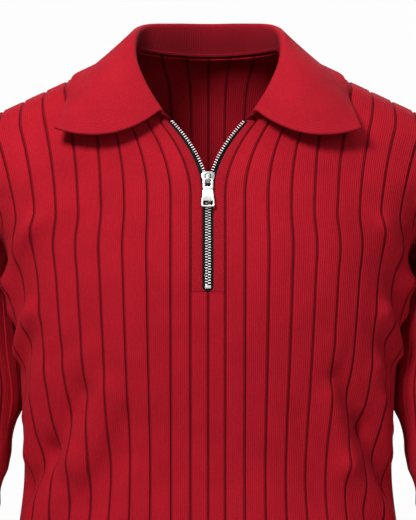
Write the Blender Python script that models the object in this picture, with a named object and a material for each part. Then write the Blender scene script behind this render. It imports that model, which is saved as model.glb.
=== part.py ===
"""Ribbed knit pullover with a zip neck and a turned-down collar, filled out as if worn.

Every cloth piece is a thin closed wall. The body walls run through horizontal sections, the sleeves
through rings, and each flat rib is raised between narrow grooves in the wall's outer points.
Frame: metres, +Z up, the front faces -Y, origin in the middle of the neck at shoulder height.
"""

import math

import bmesh
import bpy
import numpy as np
from mathutils import Matrix, Vector
from mathutils.bvhtree import BVHTree

# ---------------------------------------------------------------- driving sizes
SEAM_GAP = 0.0003  # left between pieces that are sewn together
WALL = 0.0022  # knit thickness on a rib
GROOVE_DEPTH = 0.0009  # how far a groove sinks into the outer face
GROOVE_WIDTH = 0.0030
FLAT_HALF = 0.260  # flat half width of the front and of the back panel
RIB_PITCH = 0.0234
CENTRE_RIBS = (0.0172, 0.0371)  # flat distance of the first two grooves from the centre
BODY_GROOVES = 9  # further grooves on each half of a panel
SLEEVE_GROOVES = 14

NECK_HALF = 0.0757
NECK_FLAT = CENTRE_RIBS[1] + RIB_PITCH  # the neckline's side runs up this rib's edge
NECK_TURN = 11.0  # from this level
SHAPE_COLUMNS = (0.2300, 0.2365)  # columns without a groove, for the curved edges
NECK_DROP_FRONT = 0.0895
NECK_DROP_BACK = 0.006
NECK_BACKWARD = 0.024  # how much further back the cloth lies behind the neck than on the shoulders
NECK_TOP = 0.008
SHOULDER_SLOPE = 0.469
SHOULDER_START = 0.0765
ARMHOLE_FLAT = CENTRE_RIBS[1] + 8 * RIB_PITCH  # the upper armhole runs down this rib's edge
ARMHOLE_TURN = 8.9  # the level from which it bends towards the side seam
ARMHOLE_BEND = 0.8
UNDERARM_HEIGHT = -0.215

ZIP_BOTTOM = -0.242  # where the slot for the zip ends
ZIP_OPENS = -0.145  # above this height the two edges spread apart
ZIP_TOP = -0.070
ZIP_SPREAD = 0.0366  # sideways, at the top
ZIP_CURVE = 1.95
SPREAD_REACH = 0.105  # flat distance over which the spread dies out

PLACKET_INNER = 0.0056
TAPE_THICK = 0.0008
TAPE_OUTER = 0.0130
BEAD_WIDTH = 0.0031
BEAD_BACK = 0.0042
BEAD_FRONT = 0.0009

# Body sections, hem to shoulder ridge. "slope" is how much of the shoulder's fall a section takes.
# Closed sections reach the side seams; open ones are cut by the armholes, and their ribs are
# stretched and shifted sideways instead.
SECTION_COLUMNS = (
    "height", "half_width", "front", "back", "square", "middle", "slope", "open", "stretch", "shift"
)
BODY_SECTIONS = (
    (-0.690, 0.210, 0.108, 0.120, 2.35, 0.000, 0.00, 0.0, 1.000, 0.0000),
    (-0.600, 0.208, 0.106, 0.118, 2.35, 0.000, 0.00, 0.0, 1.000, 0.0000),
    (-0.520, 0.200, 0.100, 0.108, 2.35, 0.000, 0.00, 0.0, 1.000, 0.0000),
    (-0.440, 0.190, 0.094, 0.096, 2.40, 0.002, 0.00, 0.0, 1.000, 0.0000),
    (-0.380, 0.191, 0.100, 0.098, 2.45, 0.003, 0.00, 0.0, 1.000, 0.0000),
    (-0.320, 0.194, 0.109, 0.105, 2.55, 0.003, 0.00, 0.0, 1.000, 0.0000),
    (-0.260, 0.198, 0.116, 0.113, 2.60, 0.003, 0.00, 0.0, 1.000, 0.0000),
    (-0.210, 0.206, 0.116, 0.120, 2.60, 0.004, 0.02, 0.0, 1.000, 0.0000),
    (-0.160, 0.230, 0.110, 0.122, 2.60, 0.006, 0.14, 1.0, 1.000, 0.0000),
    (-0.108, 0.252, 0.100, 0.114, 2.60, 0.008, 0.36, 1.0, 1.025, 0.0003),
    (-0.062, 0.264, 0.084, 0.096, 2.70, 0.010, 0.62, 1.0, 1.045, 0.0032),
    (-0.026, 0.272, 0.060, 0.071, 2.80, 0.010, 0.84, 1.0, 1.045, 0.0085),
    (-0.001, 0.276, 0.031, 0.040, 2.90, 0.010, 0.97, 1.0, 0.955, 0.0210),
    (0.008, 0.280, 0.000, 0.000, 3.00, 0.010, 1.00, 1.0, 0.944, 0.0204),
)
RIDGE = len(BODY_SECTIONS) - 1

# Soft folds on both sides of the body: a ridge (or, with a negative height, a trough) between two
# points, each a flat distance from the centre and a height. "half" is -1, 1 or 0 for both sides.
FOLD_COLUMNS = ("half", "from_flat", "from_height", "to_flat", "to_height", "rise", "spread")
FRONT_FOLDS = (
    (0, 0.180, -0.176, 0.226, -0.232, 0.0065, 0.011),
    (0, 0.226, -0.232, 0.236, -0.262, 0.0100, 0.014),
    (0, 0.190, -0.262, 0.232, -0.304, 0.0085, 0.010),
    (0, 0.196, -0.290, 0.226, -0.330, -0.0030, 0.010),
    (-1, 0.106, -0.340, 0.150, -0.412, 0.0050, 0.013),
    (-1, 0.150, -0.412, 0.214, -0.474, 0.0065, 0.014),
    (-1, 0.138, -0.342, 0.186, -0.404, -0.0065, 0.014),
    (-1, 0.186, -0.404, 0.226, -0.440, -0.0050, 0.013),
    (0, 0.186, -0.322, 0.226, -0.410, 0.0050, 0.012),
    (-1, 0.086, -0.366, 0.136, -0.456, -0.0035, 0.015),
    (1, 0.132, -0.345, 0.160, -0.415, 0.0050, 0.012),
    (1, 0.160, -0.415, 0.214, -0.470, 0.0060, 0.013),
    (1, 0.140, -0.326, 0.178, -0.380, -0.0060, 0.013),
    (1, 0.178, -0.380, 0.222, -0.440, -0.0055, 0.013),
    (0, 0.120, -0.500, 0.228, -0.590, 0.0045, 0.018),
    (0, 0.140, -0.560, 0.236, -0.640, -0.0035, 0.018),
)
BACK_FOLDS = (
    (0, 0.170, -0.176, 0.220, -0.246, 0.0060, 0.014),
    (0, 0.176, -0.262, 0.236, -0.306, 0.0060, 0.013),
    (0, 0.060, -0.300, 0.200, -0.372, -0.0045, 0.018),
    (0, 0.040, -0.352, 0.214, -0.424, 0.0065, 0.017),
    (0, 0.070, -0.420, 0.222, -0.476, -0.0045, 0.017),
    (0, 0.050, -0.470, 0.226, -0.540, 0.0060, 0.018),
    (0, 0.120, -0.550, 0.236, -0.610, 0.0040, 0.018),
)

# Sleeve rings, armhole to cuff: the outer and the inner point in the front view, the half depth
# from front to back, and how far back the ring's middle lies.
RING_COLUMNS = ("outer_x", "outer_z", "inner_x", "inner_z", "half_depth", "middle")
SLEEVE_RINGS = (
    (0.2350, -0.0660, 0.2000, -0.2150, 0.060, 0.008),
    (0.2520, -0.0780, 0.2030, -0.2220, 0.061, 0.008),
    (0.2665, -0.0960, 0.2060, -0.2310, 0.062, 0.009),
    (0.2780, -0.1250, 0.2075, -0.2430, 0.063, 0.010),
    (0.2860, -0.1640, 0.2075, -0.2600, 0.063, 0.011),
    (0.2925, -0.2150, 0.2065, -0.2850, 0.062, 0.011),
    (0.2975, -0.2720, 0.2035, -0.3180, 0.061, 0.011),
    (0.3015, -0.3280, 0.1975, -0.3530, 0.059, 0.010),
    (0.3045, -0.3830, 0.2035, -0.3970, 0.057, 0.009),
    (0.3070, -0.4300, 0.2095, -0.4340, 0.054, 0.008),
    (0.3095, -0.4750, 0.2180, -0.4720, 0.052, 0.002),
    (0.3120, -0.5250, 0.2270, -0.5150, 0.049, -0.008),
    (0.3145, -0.5750, 0.2370, -0.5600, 0.045, -0.020),
    (0.3170, -0.6250, 0.2475, -0.6070, 0.041, -0.032),
    (0.3195, -0.6850, 0.2600, -0.6650, 0.036, -0.047),
)
SEAM_RING = 0.35  # an extra ring close to the armhole's seam
BLEND_RINGS = 3  # rings over which the armhole's outline turns into the round arm
SLEEVE_FOLD_COLUMNS = ("ring", "angle", "rise", "ring_spread", "angle_spread")
SLEEVE_FOLDS = (
    (8.3, 180.0, 0.0020, 0.45, 60.0),
    (9.3, 190.0, -0.0022, 0.40, 65.0),
    (10.2, 175.0, 0.0028, 0.40, 60.0),
    (7.2, 120.0, -0.0035, 0.50, 45.0),
    (9.2, 80.0, -0.0030, 0.50, 40.0),
    (5.2, 60.0, -0.0030, 0.80, 35.0),
    (12.6, 200.0, 0.0030, 0.40, 70.0),
    (13.3, 20.0, -0.0025, 0.40, 70.0),
)

# Collar stations, evenly spaced along the neckline from the front end to the middle of the back:
# the fold line, the bulge between, and the free edge of the fall, as points of the left half (+X).
COLLAR_COLUMNS = ("fold", "bulge", "edge")
COLLAR_STATIONS = (
    ((0.0484, -0.0860, -0.0588), (0.0960, -0.110, -0.0918), (0.1535, -0.088, -0.0770)),
    ((0.0640, -0.0745, -0.0335), (0.1050, -0.096, -0.0450), (0.1480, -0.072, -0.0610)),
    ((0.0760, -0.0490, -0.0040), (0.1050, -0.066, -0.0100), (0.1430, -0.046, -0.0450)),
    ((0.0770, -0.0133, 0.0215), (0.1010, -0.012, 0.0050), (0.1395, -0.018, -0.0280)),
    ((0.0665, 0.0310, 0.0338), (0.0900, 0.042, 0.0160), (0.1180, 0.035, -0.0200)),
    ((0.0385, 0.0590, 0.0371), (0.0560, 0.080, 0.0080), (0.0700, 0.072, -0.0280)),
    ((0.0000, 0.0745, 0.0377), (0.0000, 0.096, 0.0080), (0.0000, 0.090, -0.0310)),
)
COLLAR_WALL = 0.0022
COLLAR_GAP = 0.0022  # kept between the fall and the body below it
COLLAR_FOLD_RADIUS = 0.0036
VERTICAL = np.array([0.0, 0.0, 1.0])

FRONT_ROWS = 13  # rows of faces below the zip's bottom end
BACK_ROWS = 11
# Rows above it: to where the zip opens, to the armhole's and the neckline's turns, to the shoulder.
OPEN_ROW, ARMHOLE_ROW, NECK_ROW, UPPER_ROWS = 3, 6, 10, 13
COLLAR_STEP = 0.052  # share of the neckline between two stations
COLLAR_FALL_ROWS = 6

RED_KNIT = ("red_knit", (0.52, 0.012, 0.030), 0.85, 0.0)
RED_COLLAR = ("red_collar_knit", (0.55, 0.016, 0.035), 0.85, 0.0)
BLACK_TAPE = ("black_zip_tape", (0.010, 0.012, 0.013), 0.8, 0.0)
ZIP_METAL = ("nickel_zip_metal", (0.80, 0.80, 0.79), 0.22, 1.0)


# ---------------------------------------------------------------- tables
def smooth_row(table, position):
    """The table's row at a fractional index, on a Catmull-Rom curve through its rows."""
    last = len(table) - 1
    position = min(max(position, 0.0), float(last))
    low = min(int(position), last - 1)
    share = position - low
    rows = [np.array(table[min(max(low + step, 0), last)], float) for step in (-1, 0, 1, 2)]
    before, start, end, after = rows
    if low == 0:
        before = 2 * start - end
    if low == last - 1:
        after = 2 * end - start
    return 0.5 * (
        2 * start
        + (end - before) * share
        + (2 * before - 5 * start + 4 * end - after) * share**2
        + (3 * start - 3 * end + after - before) * share**3
    )


def body_section(level):
    return dict(zip(SECTION_COLUMNS, smooth_row(BODY_SECTIONS, level)))


HEIGHT_STEPS = np.linspace(0.0, RIDGE, 40 * RIDGE + 1)
HEIGHTS = np.array([body_section(step)["height"] for step in HEIGHT_STEPS])


def level_at(height):
    """The fractional section index at which the body's middle has this height."""
    return float(np.interp(height, HEIGHTS, HEIGHT_STEPS))


# ---------------------------------------------------------------- the body's surface
QUARTER_TURN = np.linspace(0.0, math.pi / 2, 73)


def quarter_curve(half_width, depth, square):
    """A quarter of a squared ellipse from the middle to the side: x, y and length along it."""
    x = half_width * np.sin(QUARTER_TURN) ** (2 / square)
    y = depth * np.clip(np.cos(QUARTER_TURN), 0, 1) ** (2 / square)
    steps = np.hypot(np.diff(x), np.diff(y))
    return x, y, np.concatenate([[0.0], np.cumsum(steps)])


def shoulder_fall(x):
    """How far the shoulder has fallen at this distance from the middle, rounded where it starts."""
    past = abs(x) - SHOULDER_START
    rounding = 0.010
    return SHOULDER_SLOPE * 0.5 * (past + math.hypot(past, rounding))


def zip_spread(height):
    """How far each edge of the zip opening has moved sideways at this height. It grows up to the
    zip's top and dies out again towards the shoulder."""
    share = min(max(height - ZIP_OPENS, 0.0) / (ZIP_TOP - ZIP_OPENS), 1.0)
    rest = min(max(height - ZIP_TOP, 0.0) / -ZIP_TOP, 1.0)
    return ZIP_SPREAD * share**ZIP_CURVE * (1 - rest)


def base_point(side, flat, level):
    """A point on the smooth body. side is -1 for the front and 1 for the back."""
    section = body_section(level)
    depth = section["front"] if side < 0 else section["back"]
    x, y, along = quarter_curve(section["half_width"], max(depth, 0.0), section["square"])
    centre = CENTRE_RIBS[1]
    reach = abs(flat)
    if reach > centre:
        stretch = (along[-1] - centre) / (FLAT_HALF - centre)
        stretch += (section["stretch"] - stretch) * min(max(section["open"], 0.0), 1.0)
        reach = centre + (reach - centre) * stretch
    reach += section["shift"] * min(abs(flat) / 0.075, 1.0)
    fall = section["slope"] * shoulder_fall(np.interp(reach, along, x))
    if side < 0:
        reach += zip_spread(section["height"] - fall) * max(0.0, 1 - abs(flat) / SPREAD_REACH)
    across = float(np.interp(reach, along, x))
    back = section["middle"] + side * float(np.interp(reach, along, y))
    if side > 0 and across < NECK_HALF:
        rise = min(max((level - level_at(-0.120)) / 3, 0.0), 1.0)
        back += NECK_BACKWARD * rise * math.cos(math.pi / 2 * across / NECK_HALF) ** 2
    height = section["height"] - section["slope"] * shoulder_fall(across)
    return np.array([math.copysign(across, flat), back, height])


def fold_rise(folds, flat, height):
    """How far the folds push the cloth out at a flat distance and a height."""
    rise = 0.0
    for row in folds:
        fold = dict(zip(FOLD_COLUMNS, row))
        if fold["half"] * flat < 0:
            continue
        start = np.array([fold["from_flat"], fold["from_height"]])
        run = np.array([fold["to_flat"], fold["to_height"]]) - start
        away = np.array([abs(flat), height]) - start
        share = float(np.clip(away @ run / (run @ run), 0, 1))
        distance = np.linalg.norm(away - share * run) / fold["spread"]
        rise += fold["rise"] * math.exp(-distance * distance)
    return rise


def body_normal(side, flat, level):
    """The outward direction, turned straight up along the shoulder seam."""
    step = 0.0015
    sideways = base_point(side, flat + step, level) - base_point(side, flat - step, level)
    low, high = max(level - 0.04, 0.0), min(level + 0.04, float(RIDGE))
    upwards = base_point(side, flat, high) - base_point(side, flat, low)
    normal = np.cross(sideways, upwards) * -side
    near_ridge = min(max((level - (RIDGE - 0.8)) / 0.8, 0.0), 1.0)
    normal /= np.linalg.norm(normal)
    normal[1] *= 1 - near_ridge
    return normal / np.linalg.norm(normal)


def body_point(side, flat, level, out=0.0):
    """A point on the folded cloth, moved out along its normal."""
    point = base_point(side, flat, level)
    folds = FRONT_FOLDS if side < 0 else BACK_FOLDS
    rise = fold_rise(folds, flat, point[2])
    return point + body_normal(side, flat, level) * (out + rise)


# ---------------------------------------------------------------- where the panels end
def armhole_level(flat):
    """The armhole's level on a rib between the upper armhole and the side seam."""
    share = (abs(flat) - ARMHOLE_FLAT) / (FLAT_HALF - ARMHOLE_FLAT)
    underarm = level_at(UNDERARM_HEIGHT)
    return ARMHOLE_TURN - (ARMHOLE_TURN - underarm) * min(max(share, 0.0), 1.0) ** ARMHOLE_BEND


def neck_level(side, flat):
    """The level at which a rib meets the neckline, or the ridge if it doesn't."""
    drop = NECK_DROP_FRONT if side < 0 else NECK_DROP_BACK
    low, high = level_at(-0.13), float(RIDGE)

    def inside(level):
        point = base_point(side, flat, level)
        across = abs(point[0]) / NECK_HALF
        return across < 1 and point[2] > NECK_TOP - drop * math.sqrt(1 - across * across)

    if not inside(high - 0.001):
        return high
    for _ in range(30):
        middle = (low + high) / 2
        low, high = (low, middle) if inside(middle) else (middle, high)
    return low


RIDGE_ROOM = 0.006  # levels, half the gap of the shoulder seam


def top_level(side, flat):
    if abs(flat) > NECK_FLAT - 0.0001:
        return RIDGE - RIDGE_ROOM
    return min(neck_level(side, flat), NECK_TURN if side < 0 else RIDGE - RIDGE_ROOM)


def past_armhole(flat):
    return abs(flat) > ARMHOLE_FLAT + 0.0001


def in_front_neck(side, flat):
    return side < 0 and abs(flat) < NECK_FLAT - 0.0001


# ---------------------------------------------------------------- making objects
def clear_scene():
    for old in list(bpy.data.objects):
        bpy.data.objects.remove(old, do_unlink=True)


def material(spec):
    name, colour, roughness, metallic = spec
    made = bpy.data.materials.get(name)
    if made is None:
        made = bpy.data.materials.new(name)
        made.use_nodes = True
        shader = made.node_tree.nodes["Principled BSDF"]
        shader.inputs["Base Color"].default_value = (*colour, 1.0)
        shader.inputs["Roughness"].default_value = roughness
        shader.inputs["Metallic"].default_value = metallic
        made.diffuse_color = (*colour, 1.0)
    return made


def object_from(name, points, faces, finish):
    """One closed mesh object from points and faces; points that no face uses are left out."""
    used = sorted({index for face in faces for index in face})
    place = {old: new for new, old in enumerate(used)}
    mesh = bpy.data.meshes.new(name)
    mesh.from_pydata(
        [tuple(points[index]) for index in used],
        [],
        [tuple(place[index] for index in face) for face in faces],
    )
    edit = bmesh.new()
    edit.from_mesh(mesh)
    bmesh.ops.recalc_face_normals(edit, faces=edit.faces)
    edit.to_mesh(mesh)
    edit.free()
    mesh.shade_smooth()
    mesh.set_sharp_from_angle(angle=math.radians(35))
    mesh.materials.append(material(finish))
    made = bpy.data.objects.new(name, mesh)
    bpy.context.scene.collection.objects.link(made)
    return made


def ribbed_wall(name, outer, inner, centres, present, finish):
    """A knit wall from a grid of outer points and one of inner points. centres[column] is the outer
    column that lies on an inner column, and present[row][strip] says which cells have cloth. A
    strip that runs on from the last inner column to the first closes the wall into a tube."""
    rows, width = outer.shape[:2]
    columns = inner.shape[1]
    strips = present.shape[1]
    points = np.concatenate([outer.reshape(-1, 3), inner.reshape(-1, 3)])

    def outer_line(row, strip):
        start = centres[strip]
        end = centres[(strip + 1) % columns]
        end += width if end <= start else 0
        return [row * width + place % width for place in range(start, end + 1)]

    def inner_pair(row, strip):
        first = rows * width + row * columns
        return first + strip, first + (strip + 1) % columns

    def there(row, strip):
        if strips == columns:
            strip %= strips
        return 0 <= row < rows - 1 and 0 <= strip < strips and present[row][strip]

    faces = []
    for row in range(rows - 1):
        for strip in range(strips):
            if not there(row, strip):
                continue
            low, high = outer_line(row, strip), outer_line(row + 1, strip)
            in_low, in_high = inner_pair(row, strip), inner_pair(row + 1, strip)
            for step in range(len(low) - 1):
                faces.append((low[step], low[step + 1], high[step + 1], high[step]))
            faces.append((in_low[0], in_high[0], in_high[1], in_low[1]))
            for other, line, inside in ((row - 1, low, in_low), (row + 1, high, in_high)):
                if not there(other, strip):
                    faces.extend(rim_faces(line, inside))
            for other, end in ((strip - 1, 0), (strip + 1, -1)):
                if not there(row, other):
                    faces.append((low[end], high[end], in_high[end], in_low[end]))
    return object_from(name, points, faces, finish)


def rim_faces(line, inside):
    """Faces that close a strip's end between its outer line and its two inner points."""
    turn = (len(line) - 1) // 2
    for step in range(len(line) - 1):
        if step == turn:
            yield (line[step], line[step + 1], inside[1], inside[0])
        else:
            yield (line[step], line[step + 1], inside[0] if step < turn else inside[1])


def sheet_wall(name, outer, inner, finish):
    """A plain wall between two grids of points of the same size."""
    rows, columns = outer.shape[:2]
    points = np.concatenate([outer.reshape(-1, 3), inner.reshape(-1, 3)])
    shift = rows * columns
    faces = []
    for row in range(rows - 1):
        for column in range(columns - 1):
            first = row * columns + column
            cell = (first, first + 1, first + columns + 1, first + columns)
            faces.append(cell)
            faces.append(tuple(index + shift for index in reversed(cell)))
    rim = [column for column in range(columns)]
    rim += [row * columns + columns - 1 for row in range(1, rows)]
    rim += [(rows - 1) * columns + column for column in range(columns - 2, -1, -1)]
    rim += [row * columns for row in range(rows - 2, 0, -1)]
    for index, start in enumerate(rim):
        end = rim[(index + 1) % len(rim)]
        faces.append((start, start + shift, end + shift, end))
    return object_from(name, points, faces, finish)


def loft(name, loops, finish):
    """A solid through closed loops of the same number of points, with flat ends."""
    points = np.array(loops).reshape(-1, 3)
    count = len(loops[0])
    faces = [tuple(range(count)), tuple(range(len(points) - 1, len(points) - 1 - count, -1))]
    for row in range(len(loops) - 1):
        for step in range(count):
            first, second = row * count + step, row * count + (step + 1) % count
            faces.append((first, second, second + count, first + count))
    return object_from(name, points, faces, finish)


# ---------------------------------------------------------------- front and back
def panel_columns():
    """Flat distance and kind of each column across a panel, from side seam to side seam."""
    half = [(place, "groove") for place in CENTRE_RIBS]
    half += [
        (CENTRE_RIBS[1] + RIB_PITCH * step, "groove") for step in range(1, BODY_GROOVES + 1)
    ]
    half += [(place, "plain") for place in (*SHAPE_COLUMNS, FLAT_HALF - SEAM_GAP / 2)]
    return sorted([*half, (0.0, "groove"), *((-place, kind) for place, kind in half)])


def outer_columns():
    """Columns of a panel's outer face: flat distance and depth."""
    for flat, kind in panel_columns():
        if kind == "plain":
            yield flat, 0.0
        else:
            yield flat - GROOVE_WIDTH / 2, 0.0
            yield flat, GROOVE_DEPTH
            yield flat + GROOVE_WIDTH / 2, 0.0


def upper_levels(side, flat):
    """Levels of a rib's rows above the zip's bottom end: evenly to the armhole's turn, to the
    neckline's turn, and to the shoulder. A rib that ends before repeats its last level."""
    levels = [level_at(ZIP_BOTTOM)]
    ends = [level_at(ZIP_OPENS - 0.003), ARMHOLE_TURN, NECK_TURN, top_level(side, flat)]
    if past_armhole(flat):
        part = OPEN_ROW / ARMHOLE_ROW
        ends = [levels[0] + (armhole_level(flat) - levels[0]) * part] + [armhole_level(flat)] * 3
    elif in_front_neck(side, flat):
        ends[2] = ends[3]
    last = 0
    for end, row in zip(ends, (OPEN_ROW, ARMHOLE_ROW, NECK_ROW, UPPER_ROWS)):
        levels += list(np.linspace(levels[-1], end, row - last + 1)[1:])
        last = row
    return levels[1:]


def make_panel(name, side, lower_rows):
    heights = np.linspace(BODY_SECTIONS[0][0], ZIP_BOTTOM, lower_rows + 1)
    lower = [level_at(height) for height in heights]
    columns = list(outer_columns())
    flats = [flat for flat, _ in panel_columns()]

    def column(flat, out):
        levels = [*lower, *upper_levels(side, flat)]
        return [body_point(side, flat, level, out) for level in levels]

    outer = np.array([column(flat, -sunk) for flat, sunk in columns]).swapaxes(0, 1)
    inner = np.array([column(flat, -WALL) for flat in flats]).swapaxes(0, 1)
    centres = [index for index, (flat, _) in enumerate(columns) if flat in flats]
    present = np.ones((lower_rows + UPPER_ROWS, len(flats) - 1), bool)
    middles = np.abs((np.array(flats[1:]) + np.array(flats[:-1])) / 2)
    present[lower_rows + ARMHOLE_ROW :, middles > ARMHOLE_FLAT] = False
    if side < 0:
        present[lower_rows:, middles < CENTRE_RIBS[0]] = False
        present[lower_rows + NECK_ROW :, middles < NECK_FLAT] = False
    return ribbed_wall(name, outer, inner, centres, present, RED_KNIT)


class PanelEdge:
    """A stretch of the panels' own top edge. Spots are (side, flat distance, level); lengths along
    it run from 0 to 1. It gives the start of a wall that is sewn to the panels there."""

    def __init__(self, spots, away_from, closed):
        self.spots = spots
        self.closed = closed
        self.normal = np.array([body_normal(*spot) for spot in spots])
        self.outer = np.array([body_point(*spot) for spot in spots])
        self.inner = np.array([body_point(*spot, -WALL) for spot in spots])
        self.tangent = tangents(self.outer)
        self.onwards = np.cross(self.tangent, self.normal)
        away = np.array([self.outer[index] - away_from(*spot) for index, spot in enumerate(spots)])
        self.onwards *= np.sign((self.onwards * away).sum(axis=1, keepdims=True))
        self.onwards /= np.linalg.norm(self.onwards, axis=1, keepdims=True)
        steps = np.linalg.norm(np.diff(self.outer, axis=0), axis=1)
        self.along = np.concatenate([[0], np.cumsum(steps)]) / steps.sum()

    def at(self, name, share):
        table = getattr(self, name)
        return np.array([np.interp(share, self.along, table[:, axis]) for axis in range(3)])

    def outer_at(self, share):
        return self.at("outer", share % 1.0 if self.closed else min(max(share, 0.0), 1.0))

    def start(self, share, reach):
        """The outer start of a wall that is sewn on, a seam gap away from the edge. Where the edge
        stands out between here and a share further on, the start moves with it."""
        onwards = unit(self.at("onwards", share))
        outer = self.outer_at(share)
        room = 0.0
        for way in (-reach, reach):
            end = self.outer_at(share + way)
            for part in (0.25, 0.5, 0.75):
                bulge = self.outer_at(share + way * part) - outer - (end - outer) * part
                room = max(room, float(bulge @ onwards))
        return outer + onwards * (SEAM_GAP + 0.0001 + room)


def unit(vector):
    return np.array(vector) / np.linalg.norm(vector)


def tangents(points):
    """Directions along the first axis of a grid of points, halfway between its two neighbours'."""
    steps = np.diff(points, axis=0)
    steps /= np.linalg.norm(steps, axis=-1, keepdims=True)
    along = np.concatenate([steps[:1], steps[1:] + steps[:-1], steps[-1:]])
    return along / np.linalg.norm(along, axis=-1, keepdims=True)


# ---------------------------------------------------------------- sleeves
def armhole(half):
    """The armhole's edge from the shoulder, down the front, and up the back."""
    ways = []
    for side in (-1, 1):
        upper = upper_levels(side, ARMHOLE_FLAT)[ARMHOLE_ROW - 1 :]
        edge = [(side, half * ARMHOLE_FLAT, level) for level in reversed(upper)]
        for flat, _ in outer_columns():
            if past_armhole(flat) and flat > 0:
                edge.append((side, half * flat, armhole_level(flat)))
        ways.append(edge)
    spots = ways[0] + ways[1][-2::-1]

    def chest(side, flat, level):
        height = base_point(side, flat, level)[2]
        return base_point(side, half * 0.17, level_at(height - 0.06))

    return PanelEdge(spots, chest, True)


def ring_point(half, position, share):
    """A point on the round arm. share runs 0 to 1 from the outer side, by the front, to the back."""
    ring = dict(zip(RING_COLUMNS, smooth_row(SLEEVE_RINGS, position)))
    outer = np.array([ring["outer_x"], 0.0, ring["outer_z"]])
    inner = np.array([ring["inner_x"], 0.0, ring["inner_z"]])
    turn = 2 * math.pi * share
    middle = (outer + inner) / 2 + np.array([0.0, ring["middle"], 0.0])
    point = middle + (outer - inner) / 2 * math.cos(turn)
    point[1] -= ring["half_depth"] * math.sin(turn)
    point[0] *= half
    return point


def sleeve_rise(position, share):
    rise = 0.0
    for row in SLEEVE_FOLDS:
        fold = dict(zip(SLEEVE_FOLD_COLUMNS, row))
        turn = (share * 360 - fold["angle"] + 180) % 360 - 180
        along = (position - fold["ring"]) / fold["ring_spread"]
        rise += fold["rise"] * math.exp(-(along**2) - (turn / fold["angle_spread"]) ** 2)
    return rise


def sleeve_point(half, edge, position, share):
    """The sleeve's smooth surface: it leaves the armhole's edge in line with the body, but at the
    underarm straight out, and turns into the round arm within a few rings."""
    if position >= BLEND_RINGS:
        return ring_point(half, position, share)
    end = ring_point(half, BLEND_RINGS, share)
    step = 0.05
    end_run = ring_point(half, BLEND_RINGS + step, share) - end
    end_run *= BLEND_RINGS / step
    under = 0.5 - 0.5 * math.cos(2 * math.pi * share)
    place = share % 1.0
    leave = unit(edge.at("onwards", place) * (1 - under) + edge.at("normal", place) * under)
    start = edge.start(place, 1 / SLEEVE_GROOVES)
    start_run = leave * np.linalg.norm(end - start) * (1.0 - 0.4 * under)
    part = position / BLEND_RINGS
    return (
        (2 * part**3 - 3 * part**2 + 1) * start
        + (part**3 - 2 * part**2 + part) * start_run
        + (-2 * part**3 + 3 * part**2) * end
        + (part**3 - part**2) * end_run
    )


def sleeve_normal(half, edge, position, share):
    ahead = sleeve_point(half, edge, min(position + 0.05, len(SLEEVE_RINGS) - 1.0), share)
    back = sleeve_point(half, edge, max(position - 0.05, 0.0), share)
    turn = sleeve_point(half, edge, position, share + 0.004)
    turn -= sleeve_point(half, edge, position, share - 0.004)
    return unit(np.cross(turn, ahead - back) * half)


def sleeve_cloth(half, edge, position, share, out):
    point = sleeve_point(half, edge, position, share)
    rise = sleeve_rise(position, share)
    return point + sleeve_normal(half, edge, position, share) * (out + rise)


def make_sleeve(name, half):
    edge = armhole(half)
    outer, inner = [], []
    rings = [0.0, SEAM_RING, *range(1, len(SLEEVE_RINGS))]
    for row in rings:
        here = np.array([sleeve_point(half, edge, row, step / 40) for step in range(41)])
        girth = np.linalg.norm(np.diff(here, axis=0), axis=1).sum()
        side_step = min(GROOVE_WIDTH / 2 / girth, 0.25 / SLEEVE_GROOVES)
        out_row, in_row = [], []
        for column in range(SLEEVE_GROOVES):
            share = (column + 0.5) / SLEEVE_GROOVES
            for offset, out in ((-side_step, 0.0), (0.0, -GROOVE_DEPTH), (side_step, 0.0)):
                out_row.append(sleeve_cloth(half, edge, row, share + offset, out))
            in_row.append(sleeve_cloth(half, edge, row, share, -WALL))
        outer.append(out_row)
        inner.append(in_row)
    present = np.ones((len(rings) - 1, SLEEVE_GROOVES), bool)
    centres = [3 * column + 1 for column in range(SLEEVE_GROOVES)]
    return ribbed_wall(name, np.array(outer), np.array(inner), centres, present, RED_KNIT)


# ---------------------------------------------------------------- collar
def neckline():
    """The left half of the neckline from the zip to the middle of the back."""
    edge = [PLACKET_INNER] + [f for f, _ in outer_columns() if CENTRE_RIBS[0] <= f < NECK_FLAT]
    back = [flat for flat, _ in outer_columns() if 0.0 <= flat < NECK_FLAT + 0.0001]
    spots = [(-1, flat, top_level(-1, flat)) for flat in edge]
    spots += [(-1, NECK_FLAT, level) for level in upper_levels(-1, NECK_FLAT)[NECK_ROW - 1 :]]
    spots += [(1, flat, top_level(1, flat)) for flat in reversed(back)]

    def outside(side, flat, level):
        return 2 * body_point(side, flat, level)

    return PanelEdge(spots, outside, False)


def collar_shares(edge):
    """Where the collar's stations are: at the neckline's corners, and evenly in between."""
    flats = {round(flat, 6) for flat, _ in panel_columns()} | {PLACKET_INNER}
    turn = round(NECK_FLAT, 6)  # at the back the edge turns on this rib's inner side
    flats = {(side, flat) for side in (-1, 1) for flat in flats} - {(1, turn)}
    flats.add((1, round(NECK_FLAT - GROOVE_WIDTH / 2, 6)))
    corners = [
        along for along, spot in zip(edge.along, edge.spots) if (spot[0], round(spot[1], 6)) in flats
    ]
    shares = [0.0]
    for corner, following in zip(corners[1:], [*corners[2:], 2.0]):
        if following - corner > 0.02:  # of two close corners only the second is used
            parts = max(round((corner - shares[-1]) / COLLAR_STEP), 1)
            shares += list(np.linspace(shares[-1], corner, parts + 1)[1:])
    return shares


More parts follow.
